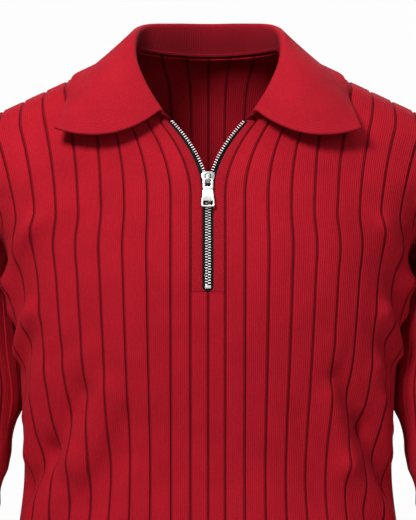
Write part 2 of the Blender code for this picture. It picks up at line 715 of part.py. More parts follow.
def body_tree():
    """A dense copy of the body's outer surface, to lay the collar's fall on."""
    points, faces = [], []
    for side in (-1, 1):
        flats = np.linspace(-FLAT_HALF, FLAT_HALF, 61)
        levels = np.linspace(level_at(-0.20), RIDGE - 0.02, 32)
        first = len(points)
        for level in levels:
            points += [tuple(body_point(side, flat, level)) for flat in flats]
        width = len(flats)
        for row in range(len(levels) - 1):
            for column in range(width - 1):
                corner = first + row * width + column
                cell = (corner, corner + 1, corner + width + 1, corner + width)
                faces.append(cell if side < 0 else tuple(reversed(cell)))
    return BVHTree.FromPolygons(points, faces)


def laid_on(tree, point, gap):
    """The point, moved out where it is nearer to the body than the gap."""
    spot, normal, _, _ = tree.find_nearest(Vector(point))
    height = (Vector(point) - spot).dot(normal)
    if height < gap:
        point = np.array(Vector(point) + normal * (gap - height))
    return point


def collar_line(tree, edge, share):
    """The middle line of the collar's wall at one station: up the stand, over the fold, and down
    the fall, resting just above the body."""
    rows = [(*fold, *bulge, *rim) for fold, bulge, rim in COLLAR_STATIONS]
    row = smooth_row(rows, share * (len(rows) - 1))
    fold, bulge, rim = row[0:3], row[3:6], row[6:9]
    outward = unit((bulge - fold) * [1, 1, 0])
    radius = COLLAR_FOLD_RADIUS
    crown = fold - VERTICAL * radius
    top = crown - outward * radius
    up = unit(top - edge.at("outer", share))
    inward = np.cross(up, edge.at("tangent", share))
    inward = unit(inward * -math.copysign(1, inward @ outward))
    seam = edge.start(share, COLLAR_STEP) + inward * COLLAR_WALL / 2
    line = [seam + (top - seam) * part for part in (0.0, 0.3, 0.65)]
    for turn in np.radians((0, 45, 90, 135)):
        line.append(crown + radius * (math.sin(turn) * VERTICAL - math.cos(turn) * outward))
    start = crown + outward * radius
    for part in np.linspace(0, 1, COLLAR_FALL_ROWS + 1)[1:]:
        point = (1 - part) ** 2 * start + 2 * part * (1 - part) * bulge + part**2 * rim
        line.append(laid_on(tree, point, COLLAR_GAP + COLLAR_WALL / 2))
    return line


def collar_walls(tree):
    """The collar's faces as grids from one front end round the back to the other: the one that is
    outside on the stand and lies on the body, and the other one."""
    edge = neckline()
    shares = collar_shares(edge)
    middle = np.array([collar_line(tree, edge, share) for share in shares])
    middle = np.concatenate([middle, middle[-2::-1] * [-1.0, 1.0, 1.0]])
    upwards = tangents(middle.swapaxes(0, 1)).swapaxes(0, 1)
    normal = np.cross(tangents(middle), upwards)
    normal *= COLLAR_WALL / 2 / np.linalg.norm(normal, axis=2, keepdims=True)
    return middle + normal, middle - normal


def make_neck_tape(inside):
    """The narrow covered seam round the inside of the neck, on the stand's inner face."""
    first = len(inside) // 4 + 2
    loops = []
    for column in range(first, len(inside) - first):
        foot, above = inside[column, 0], inside[column, 1]
        up = unit(above - foot)
        inward = unit(np.cross(up, inside[column + 1, 0] - inside[column - 1, 0]))
        inward *= -math.copysign(1, inward[:2] @ foot[:2])
        near, far = inward * (SEAM_GAP + 0.0002), inward * (SEAM_GAP + 0.0015)
        low, high = foot + up * 0.0002, foot + up * 0.0036
        loops.append([low + near, low + far, high + far, high + near])
    return loft("neck_tape", loops, RED_COLLAR)


# ---------------------------------------------------------------- placket and zip
def zip_levels(low, top):
    """Levels from the zip's bottom end to the neckline, in step with the front panel's rows."""
    return [level_at(low), *upper_levels(-1, 0.004)[: NECK_ROW - 1], top]


def make_placket(name, half):
    """The flat knitted band between the panel's slot and the zip."""
    flats = np.linspace(PLACKET_INNER, CENTRE_RIBS[0] - SEAM_GAP - 0.0001, 4)
    columns = [(f, zip_levels(ZIP_BOTTOM + SEAM_GAP, top_level(-1, f))) for f in flats]
    grids = [
        np.array([[body_point(-1, half * f, level, out) for level in levels] for f, levels in columns])
        for out in (0.0, -WALL)
    ]
    return sheet_wall(name, *grids, RED_COLLAR)


def make_zip_tape(name, half):
    """Half of the zip: woven tape under the placket, thickened to the bead that holds the teeth."""
    face = -WALL - SEAM_GAP
    profile = (
        (TAPE_OUTER, face),
        (BEAD_WIDTH + 0.0003, face),
        (BEAD_WIDTH, -BEAD_FRONT),
        (0.0002, -BEAD_FRONT),
        (0.0002, -BEAD_BACK),
        (BEAD_WIDTH, -BEAD_BACK),
        (BEAD_WIDTH + 0.0003, face - TAPE_THICK),
        (TAPE_OUTER, face - TAPE_THICK),
    )
    loops = [
        [body_point(-1, half * flat, level, out) for flat, out in profile]
        for level in zip_levels(ZIP_BOTTOM + 0.0015, top_level(-1, 0.004))
    ]
    return loft(name, loops, BLACK_TAPE)


def zip_frame(height):
    """A rigid frame on the zip at a height: X across, Y into the cloth, Z up along it."""
    level = level_at(height)
    spot = base_point(-1, 0.0, level)
    spot[0] = 0.0
    above = base_point(-1, 0.0, level + 0.2)
    along = Vector((0.0, above[1] - spot[1], above[2] - spot[2])).normalized()
    turn = math.atan2(-along.y, along.z)
    return Matrix.Translation(Vector(spot)) @ Matrix.Rotation(turn, 4, "X")


def plate(name, outline, low, high, finish=ZIP_METAL):
    """A flat plate: an outline in X and Z, between two heights out of the cloth."""
    loops = [[(x, -out, z) for x, z in outline] for out in (low, high)]
    return loft(name, loops, finish)


def rounded(half_width, bottom, top, radius, steps=3):
    """A rectangle with round corners, as points."""
    points = []
    for cx, cz, start in (
        (half_width - radius, top - radius, 0),
        (-half_width + radius, top - radius, 90),
        (-half_width + radius, bottom + radius, 180),
        (half_width - radius, bottom + radius, 270),
    ):
        for step in range(steps + 1):
            turn = math.radians(start + 90 * step / steps)
            points.append((cx + radius * math.cos(turn), cz + radius * math.sin(turn)))
    return points


def joined(base, parts, operation="UNION"):
    """The base with the other parts added or cut by live Booleans; they are kept as helpers."""
    for part in parts:
        modifier = base.modifiers.new(part.name, "BOOLEAN")
        modifier.operation = operation
        modifier.object = part
        part.hide_render = True
        part.display_type = "WIRE"
    return base


SLIDER_HEIGHT = -0.1295  # of the pull's hinge on the zip
SLIDER_TOP = 0.0085  # above the hinge
SLIDER_FOOT = -0.0070
PLATE_FRONT = 0.0012  # the front plate's outer face, out of the cloth's face
HINGE_OUT = 0.0032
PIN_RADIUS = 0.0007


def make_slider(frame):
    """Front plate, back plate, the wedge between them, and the arch that holds the pull."""
    crown = [
        (0.0052, SLIDER_FOOT), (0.0056, -0.0005), (0.0068, 0.0035), (0.0066, 0.0060),
        (0.0048, 0.0080), (0.0, SLIDER_TOP),
        (-0.0048, 0.0080), (-0.0066, 0.0060), (-0.0068, 0.0035), (-0.0056, -0.0005),
        (-0.0052, SLIDER_FOOT),
    ]
    slider = plate("zip_slider", crown, -BEAD_FRONT + SEAM_GAP, PLATE_FRONT)
    wedge = [(0.0003, 0.0012), (0.0021, 0.0072), (-0.0021, 0.0072), (-0.0003, 0.0012)]
    parts = [
        plate("slider_back", crown, -BEAD_BACK - 0.0013, -BEAD_BACK - SEAM_GAP),
        plate("slider_wedge", wedge, -BEAD_BACK - 0.0010, PLATE_FRONT - 0.0003),
    ]
    inner, outer = 0.0012, 0.0022
    side_view = [
        (-0.0046, PLATE_FRONT - 0.0004), (-0.0046, 0.0032), (-0.0030, HINGE_OUT + outer),
        (0.0030, HINGE_OUT + outer), (0.0066, 0.0032), (0.0074, PLATE_FRONT - 0.0004),
        (0.0046, PLATE_FRONT - 0.0004), (0.0024, HINGE_OUT + inner),
        (-0.0020, HINGE_OUT + inner), (-0.0030, 0.0028), (-0.0030, PLATE_FRONT - 0.0004),
    ]
    loops = [[(x, -out, z) for z, out in side_view] for x in (0.0019, -0.0019)]
    parts.append(loft("slider_arch", loops, ZIP_METAL))
    slider.data.transform(frame)
    for part in parts:
        part.data.transform(frame)
    return joined(slider, parts)


PULL_LENGTH = 0.0287  # from the hinge to the free end
WINDOW_FOOT = -0.0077
TAB_TOP = -0.0108


def make_pull(frame):
    """The pull: a loop round the arch, then a flat tab that widens to a slot at its free end."""
    frame_side, frame_out = 0.0052, 0.0029
    half_thick = 0.0006
    ring = plate(
        "zip_pull",
        [(frame_side, TAB_TOP - 0.0010), (frame_side, 0.0006), (-frame_side, 0.0006),
         (-frame_side, TAB_TOP - 0.0010)],
        -half_thick, half_thick,
    )
    window = plate("pull_window", rounded(frame_out, WINDOW_FOOT, -PIN_RADIUS, 0.0006),
                   -0.004, 0.004)
    tab_outline = [
        (0.0050, TAB_TOP), (0.0068, -0.0262), (0.0066, -0.0278), (0.0054, -PULL_LENGTH),
        (-0.0054, -PULL_LENGTH), (-0.0066, -0.0278), (-0.0068, -0.0262), (-0.0050, TAB_TOP),
    ]
    tab = plate("pull_tab", tab_outline, -0.0008, 0.0010)
    slot = plate("pull_slot", rounded(0.0049, -0.0272, -0.0226, 0.0010), -0.004, 0.004)
    for part in (ring, window, tab, slot):
        part.data.transform(frame)
    joined(ring, [window], "DIFFERENCE")
    joined(ring, [tab], "UNION")
    return joined(ring, [slot], "DIFFERENCE")


def make_zip():
    make_zip_tape("zip_tape_left", 1)
    make_zip_tape("zip_tape_right", -1)
    stop_frame = zip_frame(ZIP_BOTTOM + 0.0050)
    stop = plate("zip_stop", rounded(0.0030, -0.0012, 0.0012, 0.0004), -0.0006, 0.0004)
    stop.data.transform(stop_frame)
    frame = zip_frame(SLIDER_HEIGHT)
    make_slider(frame)
    hinge = frame @ Matrix.Translation((0.0, -HINGE_OUT, 0.0))
    make_pull(hinge)


def main():
    clear_scene()
    make_panel("front", -1, FRONT_ROWS)
    make_panel("back", 1, BACK_ROWS)
    make_sleeve("sleeve_left", 1)
    make_sleeve("sleeve_right", -1)
    outside, inside = collar_walls(body_tree())
    sheet_wall("collar", outside, inside, RED_COLLAR)
    make_neck_tape(inside)
    make_placket("placket_left", 1)
    make_placket("placket_right", -1)
    make_zip()


main()
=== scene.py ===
"""Looks of the ribbed zip-neck pullover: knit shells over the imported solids, zip, materials, light
and camera. Metres, +Z up, the front faces -Y, origin in the middle of the neck."""

import math

import bmesh
import bpy
import numpy as np
from mathutils import Matrix, Vector
from mathutils.bvhtree import BVHTree


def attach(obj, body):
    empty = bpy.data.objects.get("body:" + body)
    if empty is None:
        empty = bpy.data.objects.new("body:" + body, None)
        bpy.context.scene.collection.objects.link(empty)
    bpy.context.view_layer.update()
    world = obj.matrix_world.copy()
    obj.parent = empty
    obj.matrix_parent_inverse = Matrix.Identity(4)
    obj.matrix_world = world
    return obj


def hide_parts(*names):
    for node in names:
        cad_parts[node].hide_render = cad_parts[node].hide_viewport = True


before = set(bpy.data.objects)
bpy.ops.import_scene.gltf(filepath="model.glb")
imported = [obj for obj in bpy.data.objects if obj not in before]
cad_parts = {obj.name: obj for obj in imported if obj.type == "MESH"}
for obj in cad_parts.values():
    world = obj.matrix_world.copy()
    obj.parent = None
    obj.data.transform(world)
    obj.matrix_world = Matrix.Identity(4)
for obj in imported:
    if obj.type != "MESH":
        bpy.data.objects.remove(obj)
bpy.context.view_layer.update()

# ---------------------------------------------------------------- driving sizes
SEAM_GAP = 0.0003  # left between pieces that are sewn together
WALL = 0.0022  # knit thickness on a rib
GROOVE_DEPTH = 0.0009  # how far a groove sinks into the outer face
FLAT_HALF = 0.260  # flat half width of the front and of the back panel
RIB_PITCH = 0.0234
CENTRE_RIBS = (0.0172, 0.0371)  # flat distance of the first two grooves from the centre
BODY_GROOVES = 9  # further grooves on each half of a panel
SLEEVE_GROOVES = 14

NECK_HALF = 0.0757
NECK_FLAT = CENTRE_RIBS[1] + RIB_PITCH  # the neckline's side runs up this rib's edge
NECK_TURN = 11.0  # from this level
NECK_DROP_FRONT = 0.0895
NECK_DROP_BACK = 0.006
NECK_BACKWARD = 0.024  # how much further back the cloth lies behind the neck than on the shoulders
NECK_TOP = 0.008
SHOULDER_SLOPE = 0.469
SHOULDER_START = 0.0765
ARMHOLE_FLAT = CENTRE_RIBS[1] + 8 * RIB_PITCH  # the upper armhole runs down this rib's edge
ARMHOLE_TURN = 8.9  # the level from which it bends towards the side seam
ARMHOLE_BEND = 0.8
UNDERARM_HEIGHT = -0.215

ZIP_BOTTOM = -0.242  # where the slot for the zip ends
ZIP_OPENS = -0.145  # above this height the two edges spread apart
ZIP_TOP = -0.070
ZIP_SPREAD = 0.0366  # sideways, at the top
ZIP_CURVE = 1.95
SPREAD_REACH = 0.105  # flat distance over which the spread dies out

PLACKET_INNER = 0.0056
TAPE_THICK = 0.0008
TAPE_OUTER = 0.0130
BEAD_WIDTH = 0.0031
BEAD_BACK = 0.0042
BEAD_FRONT = 0.0009

# Body sections, hem to shoulder ridge. "slope" is how much of the shoulder's fall a section takes.
# Closed sections reach the side seams; open ones are cut by the armholes, and their ribs are
# stretched and shifted sideways instead.
SECTION_COLUMNS = (
    "height", "half_width", "front", "back", "square", "middle", "slope", "open", "stretch", "shift"
)
BODY_SECTIONS = (
    (-0.690, 0.210, 0.108, 0.120, 2.35, 0.000, 0.00, 0.0, 1.000, 0.0000),
    (-0.600, 0.208, 0.106, 0.118, 2.35, 0.000, 0.00, 0.0, 1.000, 0.0000),
    (-0.520, 0.200, 0.100, 0.108, 2.35, 0.000, 0.00, 0.0, 1.000, 0.0000),
    (-0.440, 0.190, 0.094, 0.096, 2.40, 0.002, 0.00, 0.0, 1.000, 0.0000),
    (-0.380, 0.191, 0.100, 0.098, 2.45, 0.003, 0.00, 0.0, 1.000, 0.0000),
    (-0.320, 0.194, 0.109, 0.105, 2.55, 0.003, 0.00, 0.0, 1.000, 0.0000),
    (-0.260, 0.198, 0.116, 0.113, 2.60, 0.003, 0.00, 0.0, 1.000, 0.0000),
    (-0.210, 0.206, 0.116, 0.120, 2.60, 0.004, 0.02, 0.0, 1.000, 0.0000),
    (-0.160, 0.230, 0.110, 0.122, 2.60, 0.006, 0.14, 1.0, 1.000, 0.0000),
    (-0.108, 0.252, 0.100, 0.114, 2.60, 0.008, 0.36, 1.0, 1.025, 0.0003),
    (-0.062, 0.264, 0.084, 0.096, 2.70, 0.010, 0.62, 1.0, 1.045, 0.0032),
    (-0.026, 0.272, 0.060, 0.071, 2.80, 0.010, 0.84, 1.0, 1.045, 0.0085),
    (-0.001, 0.276, 0.031, 0.040, 2.90, 0.010, 0.97, 1.0, 0.955, 0.0210),
    (0.008, 0.280, 0.000, 0.000, 3.00, 0.010, 1.00, 1.0, 0.944, 0.0204),
)
RIDGE = len(BODY_SECTIONS) - 1

# Soft folds on both sides of the body: a ridge (or, with a negative height, a trough) between two
# points, each a flat distance from the centre and a height. The columns are half (-1, 1, or 0 for
# both sides), from_flat, from_height, to_flat, to_height, rise and spread.
FRONT_FOLDS = (
    (0, 0.180, -0.176, 0.226, -0.232, 0.0065, 0.011),
    (0, 0.226, -0.232, 0.236, -0.262, 0.0100, 0.014),
    (0, 0.190, -0.262, 0.232, -0.304, 0.0085, 0.010),
    (0, 0.196, -0.290, 0.226, -0.330, -0.0030, 0.010),
    (-1, 0.106, -0.340, 0.150, -0.412, 0.0050, 0.013),
    (-1, 0.150, -0.412, 0.214, -0.474, 0.0065, 0.014),
    (-1, 0.138, -0.342, 0.186, -0.404, -0.0065, 0.014),
    (-1, 0.186, -0.404, 0.226, -0.440, -0.0050, 0.013),
    (0, 0.186, -0.322, 0.226, -0.410, 0.0050, 0.012),
    (-1, 0.086, -0.366, 0.136, -0.456, -0.0035, 0.015),
    (1, 0.132, -0.345, 0.160, -0.415, 0.0050, 0.012),
    (1, 0.160, -0.415, 0.214, -0.470, 0.0060, 0.013),
    (1, 0.140, -0.326, 0.178, -0.380, -0.0060, 0.013),
    (1, 0.178, -0.380, 0.222, -0.440, -0.0055, 0.013),
    (0, 0.120, -0.500, 0.228, -0.590, 0.0045, 0.018),
    (0, 0.140, -0.560, 0.236, -0.640, -0.0035, 0.018),
)
BACK_FOLDS = (
    (0, 0.170, -0.176, 0.220, -0.246, 0.0060, 0.014),
    (0, 0.176, -0.262, 0.236, -0.306, 0.0060, 0.013),
    (0, 0.060, -0.300, 0.200, -0.372, -0.0045, 0.018),
    (0, 0.040, -0.352, 0.214, -0.424, 0.0065, 0.017),
    (0, 0.070, -0.420, 0.222, -0.476, -0.0045, 0.017),
    (0, 0.050, -0.470, 0.226, -0.540, 0.0060, 0.018),
    (0, 0.120, -0.550, 0.236, -0.610, 0.0040, 0.018),
)

# Sleeve rings, armhole to cuff: the outer and the inner point in the front view, the half depth
# from front to back, and how far back the ring's middle lies.
RING_COLUMNS = ("outer_x", "outer_z", "inner_x", "inner_z", "half_depth", "middle")
SLEEVE_RINGS = (
    (0.2350, -0.0660, 0.2000, -0.2150, 0.060, 0.008),
    (0.2520, -0.0780, 0.2030, -0.2220, 0.061, 0.008),
    (0.2665, -0.0960, 0.2060, -0.2310, 0.062, 0.009),
    (0.2780, -0.1250, 0.2075, -0.2430, 0.063, 0.010),
    (0.2860, -0.1640, 0.2075, -0.2600, 0.063, 0.011),
    (0.2925, -0.2150, 0.2065, -0.2850, 0.062, 0.011),
    (0.2975, -0.2720, 0.2035, -0.3180, 0.061, 0.011),
    (0.3015, -0.3280, 0.1975, -0.3530, 0.059, 0.010),
    (0.3045, -0.3830, 0.2035, -0.3970, 0.057, 0.009),
    (0.3070, -0.4300, 0.2095, -0.4340, 0.054, 0.008),
    (0.3095, -0.4750, 0.2180, -0.4720, 0.052, 0.002),
    (0.3120, -0.5250, 0.2270, -0.5150, 0.049, -0.008),
    (0.3145, -0.5750, 0.2370, -0.5600, 0.045, -0.020),
    (0.3170, -0.6250, 0.2475, -0.6070, 0.041, -0.032),
    (0.3195, -0.6850, 0.2600, -0.6650, 0.036, -0.047),
)
BLEND_RINGS = 3  # rings over which the armhole's outline turns into the round arm
# Folds round a sleeve: ring, angle in degrees, rise, and the spreads in rings and in degrees.
SLEEVE_FOLDS = (
    (8.3, 180.0, 0.0020, 0.45, 60.0),
    (9.3, 190.0, -0.0022, 0.40, 65.0),
    (10.2, 175.0, 0.0028, 0.40, 60.0),
    (7.2, 120.0, -0.0035, 0.50, 45.0),
    (9.2, 80.0, -0.0030, 0.50, 40.0),
    (5.2, 60.0, -0.0030, 0.80, 35.0),
    (12.6, 200.0, 0.0030, 0.40, 70.0),
    (13.3, 20.0, -0.0025, 0.40, 70.0),
)

# Collar stations, evenly spaced along the neckline from the front end to the middle of the back:
# the fold line, the bulge between, and the free edge of the fall, as points of the left half (+X).
COLLAR_STATIONS = (
    ((0.0484, -0.0860, -0.0588), (0.0960, -0.110, -0.0918), (0.1535, -0.088, -0.0770)),
    ((0.0640, -0.0745, -0.0335), (0.1050, -0.096, -0.0450), (0.1480, -0.072, -0.0610)),
    ((0.0760, -0.0490, -0.0040), (0.1050, -0.066, -0.0100), (0.1430, -0.046, -0.0450)),
    ((0.0770, -0.0133, 0.0215), (0.1010, -0.012, 0.0050), (0.1395, -0.018, -0.0280)),
    ((0.0665, 0.0310, 0.0338), (0.0900, 0.042, 0.0160), (0.1180, 0.035, -0.0200)),
    ((0.0385, 0.0590, 0.0371), (0.0560, 0.080, 0.0080), (0.0700, 0.072, -0.0280)),
    ((0.0000, 0.0745, 0.0377), (0.0000, 0.096, 0.0080), (0.0000, 0.090, -0.0310)),
)
COLLAR_WALL = 0.0022
COLLAR_GAP = 0.0022  # kept between the fall and the body below it
COLLAR_FOLD_RADIUS = 0.0036
VERTICAL = np.array([0.0, 0.0, 1.0])

# Rows above the zip's bottom end: to where it opens, to the armhole's and the neckline's turns,
# and to the shoulder. LOWER_ROWS lie below it.
OPEN_ROW, ARMHOLE_ROW, NECK_ROW, UPPER_ROWS = 12, 24, 42, 54
LOWER_ROWS = 84
RIDGE_ROOM = 0.0008  # levels left below the ridge, so that the shoulder seam is closed

CONTACT_TOP, CONTACT_FOOT = -0.236, -0.382  # where the sleeve rests against the body's side
CONTACT_REACH = 0.020
CONTACT_GAP = 0.0006

SEAM_SAMPLES = 1600  # points along a line that teeth or stitches follow
SEAM_WINDOW = 4  # samples to each side that give the line's direction
TOOTH_PITCH = 0.00275
TOOTH_SIZE = (0.0031, 0.00115, 0.0022)  # across, along the zip, out of it
TOOTH_FLAT = 0.00150  # flat distance of a tooth's middle from the centre
TOOTH_REACH = 0.0012  # how far the open teeth stand out past the edge
STITCH_PITCH = 0.0026
STITCH_SIZE = (0.0019, 0.00042, 0.00036)  # along the seam, across it, out of it
STITCH_OFF = 0.0005  # from the middle of the groove

SLIDER_HEIGHT = -0.1295  # of the pull's hinge on the zip
SLIDER_TOP = 0.0085
SLIDER_FOOT = -0.0070
PLATE_FRONT = 0.0012
HINGE_OUT = 0.0032
PIN_RADIUS = 0.0007
PULL_LENGTH = 0.0287
WINDOW_FOOT = -0.0077
TAB_TOP = -0.0108
STOP_HALF, STOP_RISE = 0.0031, 0.0014  # half its width and half its height
STOP_FRONT, STOP_BACK = 0.0006, -0.0009  # out of the cloth

WALE_PITCH = 0.0021  # m, one column of stitches
COURSE_PITCH = 0.0016  # m, one row of stitches
TWILL_PITCH = 0.0009

PICTURE_HEIGHT = 0.520  # what the picture's height spans at the chest
CAMERA_DISTANCE = 3.5  # from the front of the chest
CHEST_FRONT, CAMERA_HEIGHT = -0.113, -0.21
SENSOR = 36.0  # mm
FLOOR_RADIUS, FLOOR_HEIGHT = 1.35, -0.80
SOFTBOXES = (  # name, place, target, width and height, watts
    ("key_softbox", (-0.66, -1.32, 1.02), (-0.03, -0.1, -0.13), (0.5, 0.5), 34),
    ("fill_softbox", (1.3, -1.6, 0.7), (0.03, -0.1, -0.13), (0.8, 0.8), 6),
    ("top_softbox", (0.0, -0.3, 1.7), (0, 0, -0.1), (0.9, 0.6), 9),
    ("back_softbox", (0.3, 2.4, 1.2), (0, 0, -0.2), (1.4, 1.0), 26),
)
WALL_LIGHT = 0.10  # how bright the walls are to the cloth, against 1 behind it
WALL_GLOSS = 0.42  # how much of the bright wall the metal mirrors

# Smaller folds that the solids leave out, in the same columns.
FRONT_CREASES = (
    (-1, 0.094, -0.354, 0.140, -0.426, 0.0036, 0.011),
    (-1, 0.140, -0.426, 0.204, -0.488, 0.0040, 0.012),
    (-1, 0.134, -0.350, 0.180, -0.410, -0.0034, 0.011),
    (-1, 0.180, -0.410, 0.222, -0.446, -0.0034, 0.011),
    (-1, 0.078, -0.384, 0.128, -0.470, -0.0030, 0.013),
    (1, 0.126, -0.352, 0.154, -0.422, 0.0026, 0.010),
    (1, 0.154, -0.422, 0.208, -0.478, 0.0030, 0.011),
    (1, 0.138, -0.330, 0.176, -0.384, -0.0024, 0.011),
    (1, 0.176, -0.384, 0.220, -0.444, -0.0024, 0.011),
    (1, 0.096, -0.372, 0.122, -0.450, -0.0026, 0.012),
    (0, 0.214, -0.150, 0.238, -0.196, -0.0030, 0.012),
    (0, 0.150, -0.300, 0.214, -0.352, -0.0016, 0.010),
    (-1, 0.118, -0.300, 0.200, -0.338, 0.0014, 0.009),
    (1, 0.128, -0.292, 0.206, -0.326, 0.0015, 0.009),
    (-1, 0.030, -0.372, 0.100, -0.420, -0.0012, 0.016),
    (1, 0.020, -0.396, 0.110, -0.436, -0.0011, 0.018),
    (-1, 0.196, -0.344, 0.236, -0.372, 0.0022, 0.007),
    (1, 0.200, -0.350, 0.236, -0.384, 0.0020, 0.007),
    (-1, 0.172, -0.430, 0.226, -0.500, -0.0022, 0.010),
    (1, 0.166, -0.452, 0.226, -0.512, -0.0024, 0.010),
    (0, 0.156, -0.520, 0.222, -0.560, 0.0018, 0.012),
    (-1, 0.060, -0.560, 0.150, -0.640, 0.0016, 0.016),
    (1, 0.080, -0.520, 0.170, -0.610, -0.0015, 0.016),
    (0, 0.120, -0.140, 0.178, -0.178, 0.0012, 0.012),
)
BACK_CREASES = (
    (0, 0.150, -0.210, 0.226, -0.270, -0.0026, 0.012),
    (-1, 0.020, -0.330, 0.120, -0.352, 0.0018, 0.012),
    (1, 0.030, -0.390, 0.150, -0.430, -0.0018, 0.012),
    (-1, 0.100, -0.500, 0.220, -0.560, -0.0020, 0.013),
    (1, 0.060, -0.560, 0.200, -0.630, 0.0018, 0.014),
    (0, 0.080, -0.150, 0.160, -0.190, 0.0012, 0.012),
)
SLEEVE_CREASES = (
    (8.8, 150.0, 0.0020, 0.18, 40.0),
    (9.7, 215.0, 0.0022, 0.18, 42.0),
    (8.0, 230.0, -0.0020, 0.20, 40.0),
    (10.8, 140.0, -0.0018, 0.22, 45.0),
    (6.0, 200.0, 0.0016, 0.30, 40.0),
    (3.6, 150.0, -0.0020, 0.30, 35.0),
    (4.4, 215.0, 0.0018, 0.30, 35.0),
    (12.0, 90.0, 0.0012, 0.25, 50.0),
    (13.6, 250.0, 0.0014, 0.20, 50.0),
)


# ---------------------------------------------------------------- surface maths on whole arrays
def smooth_rows(table, positions):
    """The table's rows at fractional indices, on a Catmull-Rom curve through them."""
    table = np.array(table, float)
    last = len(table) - 1
    positions = np.clip(np.asarray(positions, float), 0, last)
    low = np.minimum(positions.astype(int), last - 1)
    share = (positions - low)[..., None]
    start, end = table[low], table[low + 1]
    before = np.where((low == 0)[..., None], 2 * start - end, table[np.maximum(low - 1, 0)])
    after = np.where((low == last - 1)[..., None], 2 * end - start, table[np.minimum(low + 2, last)])
    return 0.5 * (
        2 * start
        + (end - before) * share
        + (2 * before - 5 * start + 4 * end - after) * share**2
        + (3 * start - 3 * end + after - before) * share**3
    )


LEVELS = np.linspace(0.0, RIDGE, 40 * RIDGE + 1)
HEIGHTS = smooth_rows(BODY_SECTIONS, LEVELS)[:, 0]


def level_at(height):
    return np.interp(height, HEIGHTS, LEVELS)


def shoulder_fall(x):
    past = np.abs(x) - SHOULDER_START
    return SHOULDER_SLOPE * 0.5 * (past + np.hypot(past, 0.010))


def zip_spread(height):
    share = np.clip((height - ZIP_OPENS) / (ZIP_TOP - ZIP_OPENS), 0, 1)
    rest = np.clip((height - ZIP_TOP) / -ZIP_TOP, 0, 1)
    return ZIP_SPREAD * share**ZIP_CURVE * (1 - rest)


def on_curve(value, xs, ys):
    """Row by row, ys at the place where xs has the value."""
    index = np.clip((xs <= value[:, None]).sum(axis=1), 1, xs.shape[1] - 1)
    row = np.arange(len(xs))
    x0, x1 = xs[row, index - 1], xs[row, index]
    share = np.clip((value - x0) / np.maximum(x1 - x0, 1e-12), 0, 1)
    return ys[row, index - 1] * (1 - share) + ys[row, index] * share


def base_chunk(side, flats, levels):
    s = dict(zip(SECTION_COLUMNS, smooth_rows(BODY_SECTIONS, levels).T))
    depth = np.maximum(s["front"] if side < 0 else s["back"], 0)
    turn = np.linspace(0, math.pi / 2, 73)
    power = (2 / s["square"])[:, None]
    x = s["half_width"][:, None] * np.sin(turn) ** power
    y = depth[:, None] * np.clip(np.cos(turn), 0, 1) ** power
    along = np.cumsum(np.hypot(np.diff(x, axis=1), np.diff(y, axis=1)), axis=1)
    along = np.concatenate([np.zeros((len(x), 1)), along], axis=1)
    centre = CENTRE_RIBS[1]
    reach = np.abs(flats)
    stretch = (along[:, -1] - centre) / (FLAT_HALF - centre)
    stretch += (s["stretch"] - stretch) * np.clip(s["open"], 0, 1)
    reach = np.where(reach > centre, centre + (reach - centre) * stretch, reach)
    reach += s["shift"] * np.minimum(np.abs(flats) / 0.075, 1)
    if side < 0:
        fall = s["slope"] * shoulder_fall(on_curve(reach, along, x))
        reach += zip_spread(s["height"] - fall) * np.maximum(0, 1 - np.abs(flats) / SPREAD_REACH)
    across = on_curve(reach, along, x)
    back = s["middle"] + side * on_curve(reach, along, y)
    if side > 0:
        rise = np.clip((levels - level_at(-0.120)) / 3, 0, 1)
        hollow = np.cos(math.pi / 2 * np.minimum(across / NECK_HALF, 1)) ** 2
        back += NECK_BACKWARD * rise * hollow
    height = s["height"] - s["slope"] * shoulder_fall(across)
    return np.stack([np.copysign(across, flats), back, height], axis=1)


def base_points(side, flats, levels):
    """Points on the smooth body. side is -1 for the front and 1 for the back."""
    flats, levels = np.broadcast_arrays(np.asarray(flats, float), np.asarray(levels, float))
    shape = flats.shape
    flats, levels = flats.reshape(-1), levels.reshape(-1)
    parts = [
        base_chunk(side, flats[first : first + 8192], levels[first : first + 8192])
        for first in range(0, len(flats), 8192)
    ]
    return np.concatenate(parts).reshape(*shape, 3)


def fold_rises(folds, flats, heights):
    """How far the folds push the cloth out."""
    rise = np.zeros_like(heights)
    for half, flat0, height0, flat1, height1, amount, spread in folds:
        run = np.array([flat1 - flat0, height1 - height0])
        du, dv = np.abs(flats) - flat0, heights - height0
        share = np.clip((du * run[0] + dv * run[1]) / (run @ run), 0, 1)
        distance = ((du - share * run[0]) ** 2 + (dv - share * run[1]) ** 2) / spread**2
        rise += np.where(half * flats < 0, 0.0, amount * np.exp(-distance))
    return rise


def unit(vectors):
    vectors = np.asarray(vectors, float)
    return vectors / np.maximum(np.linalg.norm(vectors, axis=-1, keepdims=True), 1e-12)


def body_normals(side, flats, levels):
    """Outward directions, turned straight up along the shoulder seam."""
    step = 0.0015
    levels = np.asarray(levels, float)
    sideways = base_points(side, flats + step, levels) - base_points(side, flats - step, levels)
    low, high = np.maximum(levels - 0.04, 0), np.minimum(levels + 0.04, RIDGE)
    upwards = base_points(side, flats, high) - base_points(side, flats, low)
    normal = unit(np.cross(sideways, upwards) * -side)
    normal[..., 1] *= 1 - np.clip((levels - (RIDGE - 0.8)) / 0.8, 0, 1)
    return unit(normal)


def body_sheet(side, flats, levels):
    """Folded cloth points and their normals."""
    flats, levels = np.broadcast_arrays(np.asarray(flats, float), np.asarray(levels, float))
    points, normals = base_points(side, flats, levels), body_normals(side, flats, levels)
    rise = fold_rises(FRONT_FOLDS if side < 0 else BACK_FOLDS, flats, points[..., 2])
    small = fold_rises(FRONT_CREASES if side < 0 else BACK_CREASES, flats, points[..., 2])
    return points + normals * (rise + small)[..., None], normals


